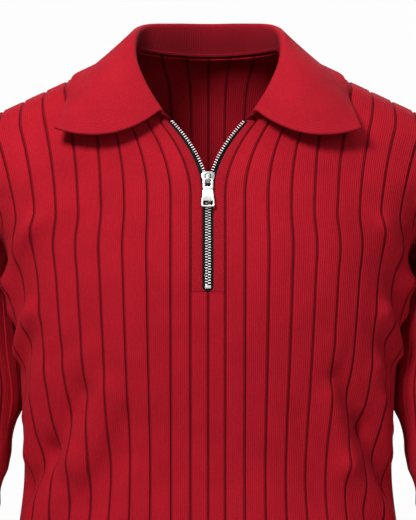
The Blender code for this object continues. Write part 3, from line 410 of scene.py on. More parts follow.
def armhole_level(flats):
    share = np.clip((np.abs(flats) - ARMHOLE_FLAT) / (FLAT_HALF - ARMHOLE_FLAT), 0, 1)
    return ARMHOLE_TURN - (ARMHOLE_TURN - level_at(UNDERARM_HEIGHT)) * share**ARMHOLE_BEND


def neck_levels(side, flats):
    """The level at which each rib meets the neckline, or the ridge if it doesn't."""
    flats = np.asarray(flats, float)
    drop = NECK_DROP_FRONT if side < 0 else NECK_DROP_BACK

    def inside(levels):
        point = base_points(side, flats, levels)
        across = np.abs(point[..., 0]) / NECK_HALF
        edge = NECK_TOP - drop * np.sqrt(np.maximum(1 - across * across, 0))
        return (across < 1) & (point[..., 2] > edge)

    low = np.full(flats.shape, float(level_at(-0.13)))
    high = np.full(flats.shape, float(RIDGE))
    never = ~inside(high - 0.001)
    for _ in range(26):
        middle = (low + high) / 2
        within = inside(middle)
        low, high = np.where(within, low, middle), np.where(within, middle, high)
    return np.where(never, float(RIDGE), low)


def top_levels(side, flats):
    flats = np.asarray(flats, float)
    ceiling = NECK_TURN if side < 0 else RIDGE - RIDGE_ROOM
    inner = np.minimum(neck_levels(side, flats), ceiling)
    return np.where(np.abs(flats) > NECK_FLAT - 0.0001, RIDGE - RIDGE_ROOM, inner)


def upper_levels(side, flats):
    """Levels (rows, columns) of the rows above the zip's bottom end, as the solids have them."""
    flats = np.asarray(flats, float)
    start = np.full(flats.shape, float(level_at(ZIP_BOTTOM)))
    tops = top_levels(side, flats)
    ends = [np.full(flats.shape, float(level_at(ZIP_OPENS - 0.003)))]
    ends += [np.full(flats.shape, ARMHOLE_TURN), np.full(flats.shape, NECK_TURN), tops]
    past = np.abs(flats) > ARMHOLE_FLAT + 0.0001
    hole = armhole_level(flats)
    ends[0] = np.where(past, start + (hole - start) * 0.5, ends[0])
    for index in (1, 2, 3):
        ends[index] = np.where(past, hole, ends[index])
    if side < 0:
        ends[2] = np.where(np.abs(flats) < NECK_FLAT - 0.0001, ends[3], ends[2])
    rows, last, before = [], 0, start
    for end, row in zip(ends, (OPEN_ROW, ARMHOLE_ROW, NECK_ROW, UPPER_ROWS)):
        for step in range(1, row - last + 1):
            rows.append(before + (end - before) * step / (row - last))
        before, last = end, row
    return np.array(rows)


# ---------------------------------------------------------------- meshes
def placed(name, data):
    """A new object in the scene."""
    made = bpy.data.objects.new(name, data)
    bpy.context.scene.collection.objects.link(made)
    return made


def mesh_object(name, points, faces, uvs=None, **masks):
    """A mesh from points, quads, an optional UV in metres for each point, and masks of painted shade for
    its colour.
    """
    mesh = bpy.data.meshes.new(name)
    mesh.from_pydata(points.tolist(), [], faces.tolist() if hasattr(faces, "tolist") else faces)
    if uvs is not None:
        corners = np.zeros(len(mesh.loops), int)
        mesh.loops.foreach_get("vertex_index", corners)
        layer = mesh.uv_layers.new(name="cloth_metres")
        layer.data.foreach_set("uv", uvs[corners].astype(np.float32).ravel())
    for label, values in masks.items():
        mask = mesh.attributes.new(label, "FLOAT", "POINT")
        mask.data.foreach_set("value", np.asarray(values, np.float32))
    mesh.shade_smooth()
    return placed(name, mesh)


def shell(name, outer, inner, uvs, groove, present=None, shade=None, turned=False):
    """A thin wall between two grids (rows, columns, 3); cells that aren't present have no cloth.
    shade is the painted shade at each point of the outer and of the inner grid, darkest inside the
    garment, and is 0 and 1 by default.
    turned takes the columns in the other order."""
    rows, columns = outer.shape[:2]
    if present is None:
        present = np.ones((rows - 1, columns - 1), bool)
    if turned:
        outer, inner, uvs = outer[:, ::-1], inner[:, ::-1], uvs[:, ::-1]
        groove, present = groove[:, ::-1], present[:, ::-1]
    index = np.arange(rows * columns).reshape(rows, columns)
    low, right = index[:-1, :-1], index[:-1, 1:]
    up, corner = index[1:, :-1], index[1:, 1:]
    shift = rows * columns
    cells = np.stack([low, right, corner, up], axis=-1)[present]
    faces = [cells, cells[:, ::-1] + shift]
    padded = np.pad(present, 1)
    for step_row, step_column, first, second in (
        (-1, 0, low, right), (1, 0, corner, up), (0, -1, up, low), (0, 1, right, corner),
    ):
        beyond = padded[1 + step_row : rows + step_row, 1 + step_column : columns + step_column]
        edge = present & ~beyond
        a, b = first[edge], second[edge]
        faces.append(np.stack([b, a, a + shift, b + shift], axis=-1))
    faces = np.concatenate(faces)
    points = np.concatenate([outer.reshape(-1, 3), inner.reshape(-1, 3)])
    used = np.unique(faces)
    place = np.zeros(len(points), int)
    place[used] = np.arange(len(used))
    both = np.concatenate([uvs.reshape(-1, 2)] * 2)
    masks = np.concatenate([groove.reshape(-1)] * 2)[used]
    shade = [np.zeros(rows * columns), np.ones(rows * columns)] if shade is None else shade
    shade = np.concatenate([side.reshape(-1) for side in shade])[used]
    # the inside attribute carries the painted shade, and groove the painted shade of the channels
    made = mesh_object(name, points[used], place[faces], both[used], groove=masks, inside=shade)
    made.data.set_sharp_from_angle(angle=math.radians(55))
    return made


def grid_normals(points):
    """Normals of a grid of points, from its own rows and columns."""
    return unit(np.cross(np.gradient(points, axis=1), np.gradient(points, axis=0)))


def lengths_along(points):
    """Cumulative length down the first axis of a grid."""
    steps = np.linalg.norm(np.diff(points, axis=0), axis=-1)
    return np.concatenate([np.zeros((1, points.shape[1])), np.cumsum(steps, axis=0)])


def run_along(points):
    """Cumulative length along one line of points."""
    return np.concatenate([[0], np.cumsum(np.linalg.norm(np.diff(points, axis=0), axis=1))])


def way_at(points, pick):
    """The line's direction at one of its points."""
    last = len(points) - 1
    return unit(points[min(pick + SEAM_WINDOW, last)] - points[max(pick - SEAM_WINDOW, 0)])


def groove_relief(aside):
    """The channel between two ribs: how far the face sinks, and the mask of painted shade for its colour.

    aside is the distance from the channel's middle, away from the zip. That side is undercut and has
    more painted shade, and the other side has a small raised lip.
    """
    channel = np.exp(-((aside / 0.0014) ** 6))
    undercut = np.exp(-(((aside - 0.0009) / 0.0006) ** 2))
    lip = np.exp(-(((aside + 0.0022) / 0.0007) ** 2))
    shoulder = np.exp(-((aside / 0.0036) ** 2))
    sink = -GROOVE_DEPTH * (0.8 * channel + 0.5 * undercut) - 0.00035 * shoulder + 0.00035 * lip
    # the mask is painted shade in the channel, strongest on the undercut side
    return sink, np.minimum(0.62 * channel + 0.55 * undercut, 1.0)


# ---------------------------------------------------------------- front and back
def fine_flats():
    """Flat distances across half a panel, close together at the grooves."""
    grooves = [0.0, *CENTRE_RIBS]
    grooves += [CENTRE_RIBS[1] + RIB_PITCH * step for step in range(1, BODY_GROOVES + 1)]
    edge = FLAT_HALF - 0.00003  # the side seam is closed
    flats = {edge}
    for groove in grooves:
        for off in (0, 0.0005, 0.0009, 0.0013, 0.0018, 0.0026):
            for place in (groove - off, groove + off):
                if 0 <= place < edge - 0.0004:
                    flats.add(round(place, 6))
    filled = []
    ordered = sorted(flats)
    for start, end in zip(ordered, ordered[1:]):
        parts = max(1, math.ceil((end - start) / 0.0036 - 0.01))
        filled += list(np.linspace(start, end, parts + 1)[:-1])
    filled.append(ordered[-1])
    return np.array(filled), np.array(grooves)


HALF_FLATS, GROOVES = fine_flats()
FLATS = np.concatenate([-HALF_FLATS[:0:-1], HALF_FLATS])


def groove_distance(flats):
    """The distance from the nearest groove's middle, away from the zip."""
    beyond = np.abs(flats)[..., None] - GROOVES
    nearest = np.abs(beyond).argmin(axis=-1)
    aside = np.take_along_axis(beyond, nearest[..., None], axis=-1)[..., 0]
    return np.where(nearest == 0, flats, aside)


def make_panel(name, side):
    lower = level_at(np.linspace(BODY_SECTIONS[0][0], ZIP_BOTTOM, LOWER_ROWS + 1))
    levels = np.concatenate([np.repeat(lower[:, None], len(FLATS), axis=1), upper_levels(side, FLATS)])
    flats = np.broadcast_to(FLATS, levels.shape)
    points, normals = body_sheet(side, flats, levels)
    relief, mask = groove_relief(groove_distance(flats))
    outer = points + normals * relief[..., None]
    inner = points - normals * WALL
    uvs = np.stack([flats, lengths_along(points)], axis=-1)
    present = np.ones((len(levels) - 1, len(FLATS) - 1), bool)
    middles = np.abs((FLATS[1:] + FLATS[:-1]) / 2)
    present[LOWER_ROWS + ARMHOLE_ROW :, middles > ARMHOLE_FLAT] = False
    if side < 0:
        present[LOWER_ROWS:, middles < CENTRE_RIBS[0]] = False
        present[LOWER_ROWS + NECK_ROW :, middles < NECK_FLAT] = False
    return shell(name, outer, inner, uvs, mask, present, turned=side > 0)


class PanelEdge:
    """A stretch of the panels' own top edge, from spots (side, flat distance, level)."""

    def __init__(self, spots, away_from, closed):
        self.closed = closed
        sides = np.array([spot[0] for spot in spots])
        flats = np.array([spot[1] for spot in spots])
        levels = np.array([spot[2] for spot in spots])
        self.outer, self.normal = np.zeros((len(spots), 3)), np.zeros((len(spots), 3))
        for side in (-1, 1):
            here = sides == side
            self.outer[here], self.normal[here] = body_sheet(side, flats[here], levels[here])
        away = self.outer - away_from(sides, flats, levels, self.outer)
        steps = np.linalg.norm(np.diff(self.outer, axis=0), axis=1)
        runs = np.diff(self.outer, axis=0) / steps[:, None]
        self.tangent = unit(np.concatenate([runs[:1], runs[1:] + runs[:-1], runs[-1:]]))
        self.onwards = np.cross(self.tangent, self.normal)
        self.onwards = unit(self.onwards * np.sign((self.onwards * away).sum(axis=1, keepdims=True)))
        self.along = np.concatenate([[0], np.cumsum(steps)]) / steps.sum()
        self.length = steps.sum()

    def at(self, name, shares):
        table = getattr(self, name)
        shares = np.mod(shares, 1.0) if self.closed else np.clip(shares, 0, 1)
        return np.stack([np.interp(shares, self.along, table[:, axis]) for axis in range(3)], -1)

    def start(self, shares):
        onwards = unit(self.at("onwards", shares))
        return self.at("outer", shares) + onwards * (SEAM_GAP + 0.0001)


# ---------------------------------------------------------------- sleeves
def armhole():
    """The left armhole's edge from the shoulder, down the front, and up the back."""
    ways = []
    for side in (-1, 1):
        upper = upper_levels(side, np.array([ARMHOLE_FLAT]))[ARMHOLE_ROW - 1 :, 0]
        edge = [(side, ARMHOLE_FLAT, level) for level in upper[::-1]]
        beyond = HALF_FLATS[HALF_FLATS > ARMHOLE_FLAT + 0.0001]
        edge += [(side, flat, level) for flat, level in zip(beyond, armhole_level(beyond))]
        ways.append(edge)

    def chest(sides, flats, levels, outer):
        spot = np.zeros_like(outer)
        for side in (-1, 1):
            here = sides == side
            below = level_at(base_points(side, flats[here], levels[here])[:, 2] - 0.06)
            spot[here] = base_points(side, np.full(here.sum(), 0.17), below)
        return spot

    return PanelEdge(ways[0] + ways[1][-2::-1], chest, True)


def ring_points(positions, shares):
    """Points (rings, shares) on the round arm, from the outer side by the front to the back."""
    ring = dict(zip(RING_COLUMNS, smooth_rows(SLEEVE_RINGS, positions).T))
    turn = 2 * math.pi * shares[None, :]
    middle_x = (ring["outer_x"] + ring["inner_x"]) / 2
    middle_z = (ring["outer_z"] + ring["inner_z"]) / 2
    half_x = (ring["outer_x"] - ring["inner_x"]) / 2
    half_z = (ring["outer_z"] - ring["inner_z"]) / 2
    x = middle_x[:, None] + half_x[:, None] * np.cos(turn)
    z = middle_z[:, None] + half_z[:, None] * np.cos(turn)
    y = ring["middle"][:, None] - ring["half_depth"][:, None] * np.sin(turn)
    return np.stack([x, y, z], axis=-1)


def sleeve_points(edge, positions, shares):
    points = ring_points(positions, shares)
    end = ring_points(np.array([float(BLEND_RINGS)]), shares)[0]
    end_run = (ring_points(np.array([BLEND_RINGS + 0.05]), shares)[0] - end) * BLEND_RINGS / 0.05
    under = (0.5 - 0.5 * np.cos(2 * math.pi * shares))[:, None]
    leave = unit(edge.at("onwards", shares) * (1 - under) + edge.at("normal", shares) * under)
    start = edge.start(shares)
    start_run = leave * np.linalg.norm(end - start, axis=1)[:, None] * (1.0 - 0.4 * under)
    for row in np.flatnonzero(positions < BLEND_RINGS):
        part = positions[row] / BLEND_RINGS
        points[row] = (
            (2 * part**3 - 3 * part**2 + 1) * start
            + (part**3 - 2 * part**2 + part) * start_run
            + (-2 * part**3 + 3 * part**2) * end
            + (part**3 - part**2) * end_run
        )
    return points


def sleeve_shares():
    """Shares round the sleeve from the inner side, close together at the grooves."""
    shares = {0.5, 1.5}
    for column in range(SLEEVE_GROOVES):
        groove = (column + 0.5) / SLEEVE_GROOVES
        for off in (0.0, 0.0016, 0.0030, 0.0044, 0.0062, 0.0090, 0.0140, 0.0240, 0.0357):
            for place in (groove - off, groove + off):
                shares.add(round(place if place >= 0.5 else place + 1.0, 5))
    return np.array(sorted(share for share in shares if 0.5 <= share <= 1.5))


def lean_on_body(points, shares, half, tree):
    """Moves the inner side of the sleeve until it rests on the body's side, below the armpit."""
    facing = np.clip((-np.cos(2 * math.pi * shares) - 0.25) / 0.5, 0, 1)
    moved = np.zeros(points.shape[:2])
    low = (points[..., 2] > CONTACT_FOOT) & (points[..., 2] < CONTACT_TOP) & (facing > 0)[None, :]
    for row, column in zip(*np.nonzero(low)):
        x, y, z = points[row, column]
        hit, _, _, distance = tree.ray_cast(Vector((half * x, y, z)), Vector((-half, 0, 0)), CONTACT_REACH)
        if hit is not None:
            fade = min(1.0, (z - CONTACT_FOOT) / 0.022, (CONTACT_TOP - z) / 0.016)
            behind = min(max((y + 0.022) / 0.026, 0.0), 1.0)  # the front of the sleeve stays round
            fade = min(fade, behind)
            moved[row, column] = max(distance - CONTACT_GAP, 0.0) * fade * fade * (3 - 2 * fade)
    moved *= (facing * facing * (3 - 2 * facing))[None, :]
    for _ in range(6):
        moved[1:-1, 1:-1] = (
            moved[1:-1, 1:-1] + moved[2:, 1:-1] + moved[:-2, 1:-1] + moved[1:-1, 2:] + moved[1:-1, :-2]
        ) / 5
    return points - moved[..., None] * [1.0, 0.0, 0.0]


def make_sleeve(name, half, tree):
    edge = armhole()
    shares = sleeve_shares()
    positions = np.array([0, 0.06, 0.15, 0.3, *np.linspace(0.5, len(SLEEVE_RINGS) - 1.0, 102)])
    points = sleeve_points(edge, positions, shares)
    wrapped = np.concatenate([points[:, -3:-1], points, points[:, 1:3]], axis=1)
    normals = grid_normals(wrapped)[:, 2:-2]
    middle = points.mean(axis=1, keepdims=True)
    if ((points - middle) * normals).sum() < 0:
        normals = -normals
    rise = np.zeros(points.shape[:2])
    for ring, angle, amount, ring_spread, angle_spread in SLEEVE_FOLDS + SLEEVE_CREASES:
        turn = (shares * 360 - angle + 180) % 360 - 180
        along = (positions - ring) / ring_spread
        rise += amount * np.exp(-(along[:, None] ** 2) - (turn[None, :] / angle_spread) ** 2)
    points = lean_on_body(points + normals * rise[..., None], shares, half, tree)
    girth = np.linalg.norm(np.diff(points, axis=1), axis=-1).sum(axis=1)
    off = np.abs((shares * SLEEVE_GROOVES) % 1.0 - 0.5) / SLEEVE_GROOVES
    relief, mask = groove_relief(off[None, :] * girth[:, None])
    outer = points + normals * relief[..., None]
    inner = points - normals * WALL
    across = (shares - 1.0)[None, :] * girth[:, None].mean()
    uvs = np.stack([np.broadcast_to(across, rise.shape), lengths_along(points)], axis=-1)
    if half < 0:
        outer, inner = outer * [-1, 1, 1], inner * [-1, 1, 1]
    return shell(name, outer, inner, uvs, mask, turned=half > 0)


# ---------------------------------------------------------------- collar
def neckline():
    """The left half of the neckline from the zip to the middle of the back."""
    within = HALF_FLATS[HALF_FLATS < NECK_FLAT - 0.0001]
    front = np.array([PLACKET_INNER, *within[within > PLACKET_INNER + 0.001]])
    back = within[::-1]
    spots = [(-1, flat, level) for flat, level in zip(front, top_levels(-1, front))]
    side = upper_levels(-1, np.array([NECK_FLAT]))[NECK_ROW - 1 :, 0]
    spots += [(-1, NECK_FLAT, level) for level in side]
    spots += [(1, flat, level) for flat, level in zip(back, top_levels(1, back))]

    def outside(sides, flats, levels, outer):
        return 2 * outer

    return PanelEdge(spots, outside, False)


def body_tree():
    """The folded body as a search tree, with its faces outwards."""
    points, faces = [], []
    for side in (-1, 1):
        flats, levels = np.meshgrid(
            np.linspace(-FLAT_HALF, FLAT_HALF, 121), np.linspace(level_at(-0.46), RIDGE - 0.02, 110)
        )
        first = len(points)
        points += body_sheet(side, flats, levels)[0].reshape(-1, 3).tolist()
        index = first + np.arange(flats.size).reshape(flats.shape)
        cells = np.stack([index[:-1, :-1], index[:-1, 1:], index[1:, 1:], index[1:, :-1]], axis=-1)
        faces += cells.reshape(-1, 4)[:, ::-side].tolist()
    return BVHTree.FromPolygons(points, faces)


def collar_line(tree, edge, share):
    """The middle of the collar's wall at one station: up the stand, over the fold, down the fall."""
    rows = [(*fold, *bulge, *rim) for fold, bulge, rim in COLLAR_STATIONS]
    last = len(rows) - 1
    rows += [tuple(np.array(row) * np.tile([-1, 1, 1], 3)) for row in (rows[-2], rows[-3])]
    row = smooth_rows(rows, np.array([share * last]))[0]
    fold, bulge, rim = row[0:3], row[3:6] - VERTICAL * 0.004, row[6:9]
    outward = unit((bulge - fold) * [1, 1, 0])
    radius = COLLAR_FOLD_RADIUS
    crown = fold - VERTICAL * radius
    top = crown - outward * radius
    where = np.array([share])
    foot = edge.at("outer", where)[0]
    up = unit(top - foot)
    inward = np.cross(up, edge.at("tangent", where)[0])
    inward = unit(inward * -math.copysign(1, inward @ outward))
    seam = edge.start(where)[0] + inward * COLLAR_WALL / 2
    line = [seam + (top - seam) * part for part in (0.0, 0.07, 0.16, 0.28, 0.42, 0.58, 0.74, 0.88)]
    finish = math.pi / 2  # the roll ends where it points the way that the fall goes
    for _ in range(4):
        start = crown + radius * (math.sin(finish) * VERTICAL - math.cos(finish) * outward)
        finish = math.atan2((bulge - start) @ outward, (bulge - start) @ VERTICAL)
    for turn in np.linspace(0, finish, 10):
        line.append(crown + radius * (math.sin(turn) * VERTICAL - math.cos(turn) * outward))
    start = line[-1]
    for part in np.linspace(0, 1, 25)[1:]:
        point = (1 - part) ** 2 * start + 2 * part * (1 - part) * bulge + part**2 * rim
        wave = 0.0007 * part * math.sin(share * 23 + 1.1) + 0.0005 * part * math.sin(share * 51)
        spot, normal, _, _ = tree.find_nearest(Vector(point))
        height = (Vector(point) - spot).dot(normal)
        lowest = COLLAR_GAP + COLLAR_WALL / 2 + max(wave, -0.0004)
        if height < lowest:
            point = np.array(Vector(point) + normal * (lowest - height))
        line.append(point)
    return line


def make_collar(tree, edge):
    shares = np.linspace(0, 1, 76)
    middle = np.array([collar_line(tree, edge, share) for share in shares])
    middle = np.concatenate([middle, middle[-2::-1] * [-1.0, 1.0, 1.0]])
    # a few rounds of smoothing along the collar on the fall, where it is laid on the body
    for _ in range(3):
        middle[1:-1, 19:] += 0.25 * (middle[2:, 19:] + middle[:-2, 19:] - 2 * middle[1:-1, 19:])
    thick = np.ones(middle.shape[:2])
    half = COLLAR_WALL / 2
    turns = np.radians((25, 50, 72, 90))
    ends = [unit(middle[0] - middle[1]), unit(middle[-1] - middle[-2])]
    middle = np.concatenate([
        *[(middle[0] + ends[0] * half * math.sin(turn))[None] for turn in turns[::-1]],
        middle,
        *[(middle[-1] + ends[1] * half * math.sin(turn))[None] for turn in turns],
    ])
    cosines = np.cos(turns)
    thick = np.concatenate([
        np.repeat(cosines[::-1][:, None], thick.shape[1], axis=1),
        thick,
        np.repeat(cosines[:, None], thick.shape[1], axis=1),
    ])
    down = unit(middle[:, -1] - middle[:, -2])
    rim = np.stack([middle[:, -1] + down * half * math.sin(turn) for turn in turns], axis=1)
    rim_thick = np.stack([thick[:, -1] * cosine for cosine in cosines], axis=1)
    middle = np.concatenate([middle, rim], axis=1)
    thick = np.concatenate([thick, rim_thick], axis=1)
    normals = unit(np.cross(np.gradient(middle, axis=0), np.gradient(middle, axis=1)))
    offset = normals * (half * np.maximum(thick, 0.02))[..., None]
    outside, inside = middle + offset, middle - offset
    across = np.linspace(-1, 1, len(middle)) * edge.length
    down_run = lengths_along(middle.swapaxes(0, 1)).T
    uvs = np.stack([np.broadcast_to(across[:, None], down_run.shape), down_run], axis=-1)
    mask = np.zeros(down_run.shape)
    # painted shade on the stand inside the neck, lighter where its top turns out into the light
    stand = 1 - np.clip((np.arange(down_run.shape[1]) - 4) / 9.0, 0, 1) ** 1.5
    fore = np.clip(1.15 - np.abs(across) / (0.80 * edge.length), 0, 1)[:, None]
    stand = np.broadcast_to(stand[None, :], down_run.shape) * (0.45 + 0.55 * fore)
    return (
        shell("collar_knit", outside[::-1], inside[::-1], uvs[::-1], mask, shade=[stand, stand]),
        inside[4:-4],
    )


def tube(name, loops, shade=0.0):
    """A closed tube through loops (rows, around, 3), with flat ends."""
    rows, around = loops.shape[:2]
    index = np.arange(rows * around).reshape(rows, around)
    right = np.roll(index, -1, axis=1)
    faces = np.stack([index[:-1], right[:-1], right[1:], index[1:]], axis=-1).reshape(-1, 4).tolist()
    faces += [index[0][::-1].tolist(), index[-1].tolist()]
    across = lengths_along(loops.swapaxes(0, 1)).T
    uvs = np.stack([across, lengths_along(loops)], axis=-1).reshape(-1, 2)
    # shade is painted shade, carried by the inside attribute
    plain, dim = np.zeros(rows * around), np.full(rows * around, shade)
    made = mesh_object(name, loops.reshape(-1, 3), faces, uvs, groove=plain, inside=dim)
    made.data.set_sharp_from_angle(angle=math.radians(50))
    return made


def make_neck_tape(inside):
    """The covered seam that runs round the inside of the neck, a soft roll."""
    first = len(inside) // 4 + 2
    loops = []
    for column in range(first, len(inside) - first):
        foot, above = inside[column, 0], inside[column, 2]
        up = unit(above - foot)
        inward = unit(np.cross(up, inside[column + 1, 0] - inside[column - 1, 0]))
        inward *= -math.copysign(1, inward[:2] @ foot[:2])
        centre = foot + up * 0.0019 + inward * (SEAM_GAP + 0.0009)
        turns = np.radians(np.arange(0, 360, 30))
        loops.append([centre + up * 0.0017 * math.sin(t) + inward * 0.0007 * math.cos(t) for t in turns])
    # painted shade on the tape inside the neck
    return tube("neck_seam_tape", np.array(loops), shade=0.75)


# ---------------------------------------------------------------- placket and zip
def zip_rows(low, flats):
    """Levels (rows, flats) from the zip's bottom end to the neckline."""
    levels = upper_levels(-1, np.asarray(flats, float))[:NECK_ROW]
    bottom = np.full((1, len(flats)), float(level_at(low)))
    return np.concatenate([bottom, levels])


def make_placket(name, half):
    """The flat knitted band between the panel's slot and the zip; its edges turn in a little."""
    inner_edge, outer_edge = PLACKET_INNER, CENTRE_RIBS[0] - SEAM_GAP - 0.0001
    parts = np.array([0, 0.03, 0.08, 0.16, 0.3, 0.45, 0.6, 0.75, 0.87, 0.94, 0.98, 1.0])
    flats = inner_edge + (outer_edge - inner_edge) * parts
    levels = zip_rows(ZIP_BOTTOM + SEAM_GAP, flats)[1:]
    rises = np.array([0, 0.0003, 0.0008, 0.0014, 0.0021, 0.0029, 0.0038, 0.0049])
    foot = np.repeat(level_at(ZIP_BOTTOM + SEAM_GAP + rises)[:, None], len(flats), axis=1)
    levels = np.concatenate([foot, levels[levels.min(axis=1) > level_at(ZIP_BOTTOM + 0.0058)]])
    corner = PLACKET_INNER - SEAM_GAP  # the two bands close in a rounded end under the zip
    rise = np.zeros(len(levels)) + corner
    rise[: len(rises)] = rises
    inner_edge = inner_edge - corner + np.sqrt(corner**2 - (corner - rise) ** 2)
    flats = inner_edge[:, None] + (outer_edge - inner_edge)[:, None] * parts
    points, normals = body_sheet(-1, half * flats, levels)
    edge = np.minimum(flats - inner_edge[:, None], outer_edge - flats)
    relief = -0.0007 * np.exp(-((edge / 0.0008) ** 2))
    # painted shade along the outer edge, in the seam against the panel
    mask = np.exp(-(((outer_edge - flats) / 0.0007) ** 2)) * 0.8
    outer = points + normals * relief[..., None]
    inner = points - normals * np.where(flats < PLACKET_INNER + 0.0004, 0.0008, WALL)[..., None]
    run = lengths_along(points)
    uvs = np.stack([run, flats], axis=-1)  # its courses run across
    return shell(name, outer, inner, uvs, mask, turned=half < 0)


def make_tape(name, half):
    """Half of the woven zip tape, thickened to the bead that holds the teeth."""
    face = -WALL - SEAM_GAP
    bead = 0.0004
    profile = (
        (TAPE_OUTER, face), (0.0080, face), (0.0050, face), (BEAD_WIDTH + 0.0003, face),
        (BEAD_WIDTH, -BEAD_FRONT - bead), (BEAD_WIDTH - bead, -BEAD_FRONT), (0.0006, -BEAD_FRONT),
        (0.0002, -BEAD_FRONT - bead), (0.0002, -BEAD_BACK + bead), (0.0006, -BEAD_BACK),
        (BEAD_WIDTH - bead, -BEAD_BACK), (BEAD_WIDTH, -BEAD_BACK + bead),
        (BEAD_WIDTH + 0.0003, face - TAPE_THICK), (TAPE_OUTER, face - TAPE_THICK),
    )
    flats = np.array([flat for flat, _ in profile])
    levels = zip_rows(ZIP_BOTTOM + 0.0015, flats)
    levels[-1] = top_levels(-1, np.array([0.004]))[0]
    points, normals = body_sheet(-1, half * np.broadcast_to(flats, levels.shape), levels)
    points = points + normals * np.array([out for _, out in profile])[None, :, None]
    if half < 0:
        points = points[:, ::-1]
    return tube(name, points)


def zip_frame(height):
    """A rigid frame on the zip at a height: X across, Y into the cloth, Z up along it."""
    level = float(level_at(height))
    spot, above = base_points(-1, np.zeros(2), np.array([level, level + 0.2]))
    spot[0] = 0.0
    turn = math.atan2(-(above[1] - spot[1]), above[2] - spot[2])
    return Matrix.Translation(Vector(spot)) @ Matrix.Rotation(turn, 4, "X")


def tooth_seats():
    """Where each tooth sits on its bead, which way it points, and which way is out."""
    seats = []
    low = float(level_at(ZIP_BOTTOM + 0.0075))
    slider_low, slider_high = SLIDER_HEIGHT + SLIDER_FOOT, SLIDER_HEIGHT + SLIDER_TOP
    for half in (-1, 1):
        top = top_levels(-1, np.array([0.004]))[0] - 0.02
        levels = np.linspace(low, top, SEAM_SAMPLES)
        points, normals = body_sheet(-1, half * TOOTH_FLAT, levels)
        inward = base_points(-1, half * 0.0001, levels)
        inward = unit(inward - base_points(-1, half * TOOTH_FLAT * 1.9, levels))
        run = run_along(points)
        begin = TOOTH_PITCH * (0.5 if half > 0 else 0.0)
        for place in np.arange(begin, run[-1], TOOTH_PITCH):
            pick = int(np.searchsorted(run, place))
            height = points[pick, 2]
            if slider_low + 0.0005 < height < slider_high - 0.0015:
                continue
            out = normals[pick]
            across = unit(np.cross(way_at(points, pick), out)) * -half
            across *= np.sign(across @ inward[pick])
            reach = TOOTH_REACH if height > slider_high else 0.0
            seats.append((points[pick] + out * -0.0005 + across * reach, across, out))
    return seats


def stitch_seats():
    """Stitches that hold the plackets: in the groove of each long seam, and across the foot."""
    sunk = groove_relief(np.array([STITCH_OFF]))[0][0] + STITCH_SIZE[2] / 3
    lines = []
    for half in (-1, 1):
        flat = half * (CENTRE_RIBS[0] + STITCH_OFF)
        top = top_levels(-1, np.array([abs(flat)]))[0] - 0.02
        lines.append((flat, np.linspace(level_at(ZIP_BOTTOM), top, SEAM_SAMPLES), sunk))
    flats = np.linspace(-CENTRE_RIBS[0], CENTRE_RIBS[0], SEAM_SAMPLES)
    lines.append((flats, float(level_at(ZIP_BOTTOM - 0.0006)), 0.0))
    seats = []
    for flats, levels, rise in lines:
        points, normals = body_sheet(-1, flats, levels)
        run = run_along(points)
        for place in np.arange(STITCH_PITCH, run[-1] - 0.001, STITCH_PITCH):
            pick = int(np.searchsorted(run, place))
            seats.append((points[pick] + normals[pick] * rise, way_at(points, pick), normals[pick]))
    return seats


def scatter(name, shape, seats):
    """Copies of one small shape on their seats, set there by Geometry Nodes."""
    mesh = bpy.data.meshes.new(name)
    mesh.from_pydata([tuple(point) for point, _, _ in seats], [], [])
    for label, column in (("seat_way", 1), ("seat_out", 2)):
        way = mesh.attributes.new(label, "FLOAT_VECTOR", "POINT")
        way.data.foreach_set("vector", np.array([seat[column] for seat in seats], np.float32).ravel())
    chain = placed(name, mesh)

    tree = bpy.data.node_groups.new(name + "_nodes", "GeometryNodeTree")
    face = tree.interface
    for label, way, kind in (
        ("Seats", "INPUT", "Geometry"), ("Shape", "INPUT", "Object"), ("Copies", "OUTPUT", "Geometry"),
    ):
        face.new_socket(label, in_out=way, socket_type="NodeSocket" + kind)
    add = tree.nodes.new
    link = tree.links.new
    start, end = add("NodeGroupInput"), add("NodeGroupOutput")
    info = add("GeometryNodeObjectInfo")
    link(start.outputs["Shape"], info.inputs["Object"])
    rotation = None
    for label, axis in (("seat_way", "X"), ("seat_out", "Z")):
        named = add("GeometryNodeInputNamedAttribute")
        named.data_type = "FLOAT_VECTOR"
        named.inputs["Name"].default_value = label
        turn = add("FunctionNodeAlignRotationToVector")
        turn.axis = axis
        turn.pivot_axis = "AUTO" if axis == "X" else "X"
        link(named.outputs["Attribute"], turn.inputs["Vector"])
        if rotation is not None:
            link(rotation, turn.inputs["Rotation"])
        rotation = turn.outputs["Rotation"]
    place = add("GeometryNodeInstanceOnPoints")
    link(start.outputs["Seats"], place.inputs["Points"])
    link(info.outputs["Geometry"], place.inputs["Instance"])
    link(rotation, place.inputs["Rotation"])
    real = add("GeometryNodeRealizeInstances")
    link(place.outputs["Instances"], real.inputs["Geometry"])
    link(real.outputs["Geometry"], end.inputs["Copies"])

    modifier = chain.modifiers.new("copies", "NODES")
    modifier.node_group = tree
    sockets = {item.name: item.identifier for item in face.items_tree if item.in_out == "INPUT"}
    modifier[sockets["Shape"]] = shape
    finished(chain)
    bpy.data.objects.remove(shape, do_unlink=True)
    return chain


def finished(obj):
    """The object with its modifiers made permanent."""
    bpy.context.view_layer.update()
    made = bpy.data.meshes.new_from_object(obj.evaluated_get(bpy.context.evaluated_depsgraph_get()))
    obj.modifiers.clear()
    obj.data = made
    return obj


def round_edges(obj, width, segments, angle):
    rounding = obj.modifiers.new("rounding", "BEVEL")
    rounding.width = width
    rounding.segments = segments
    rounding.limit_method = "ANGLE"
    rounding.angle_limit = math.radians(angle)


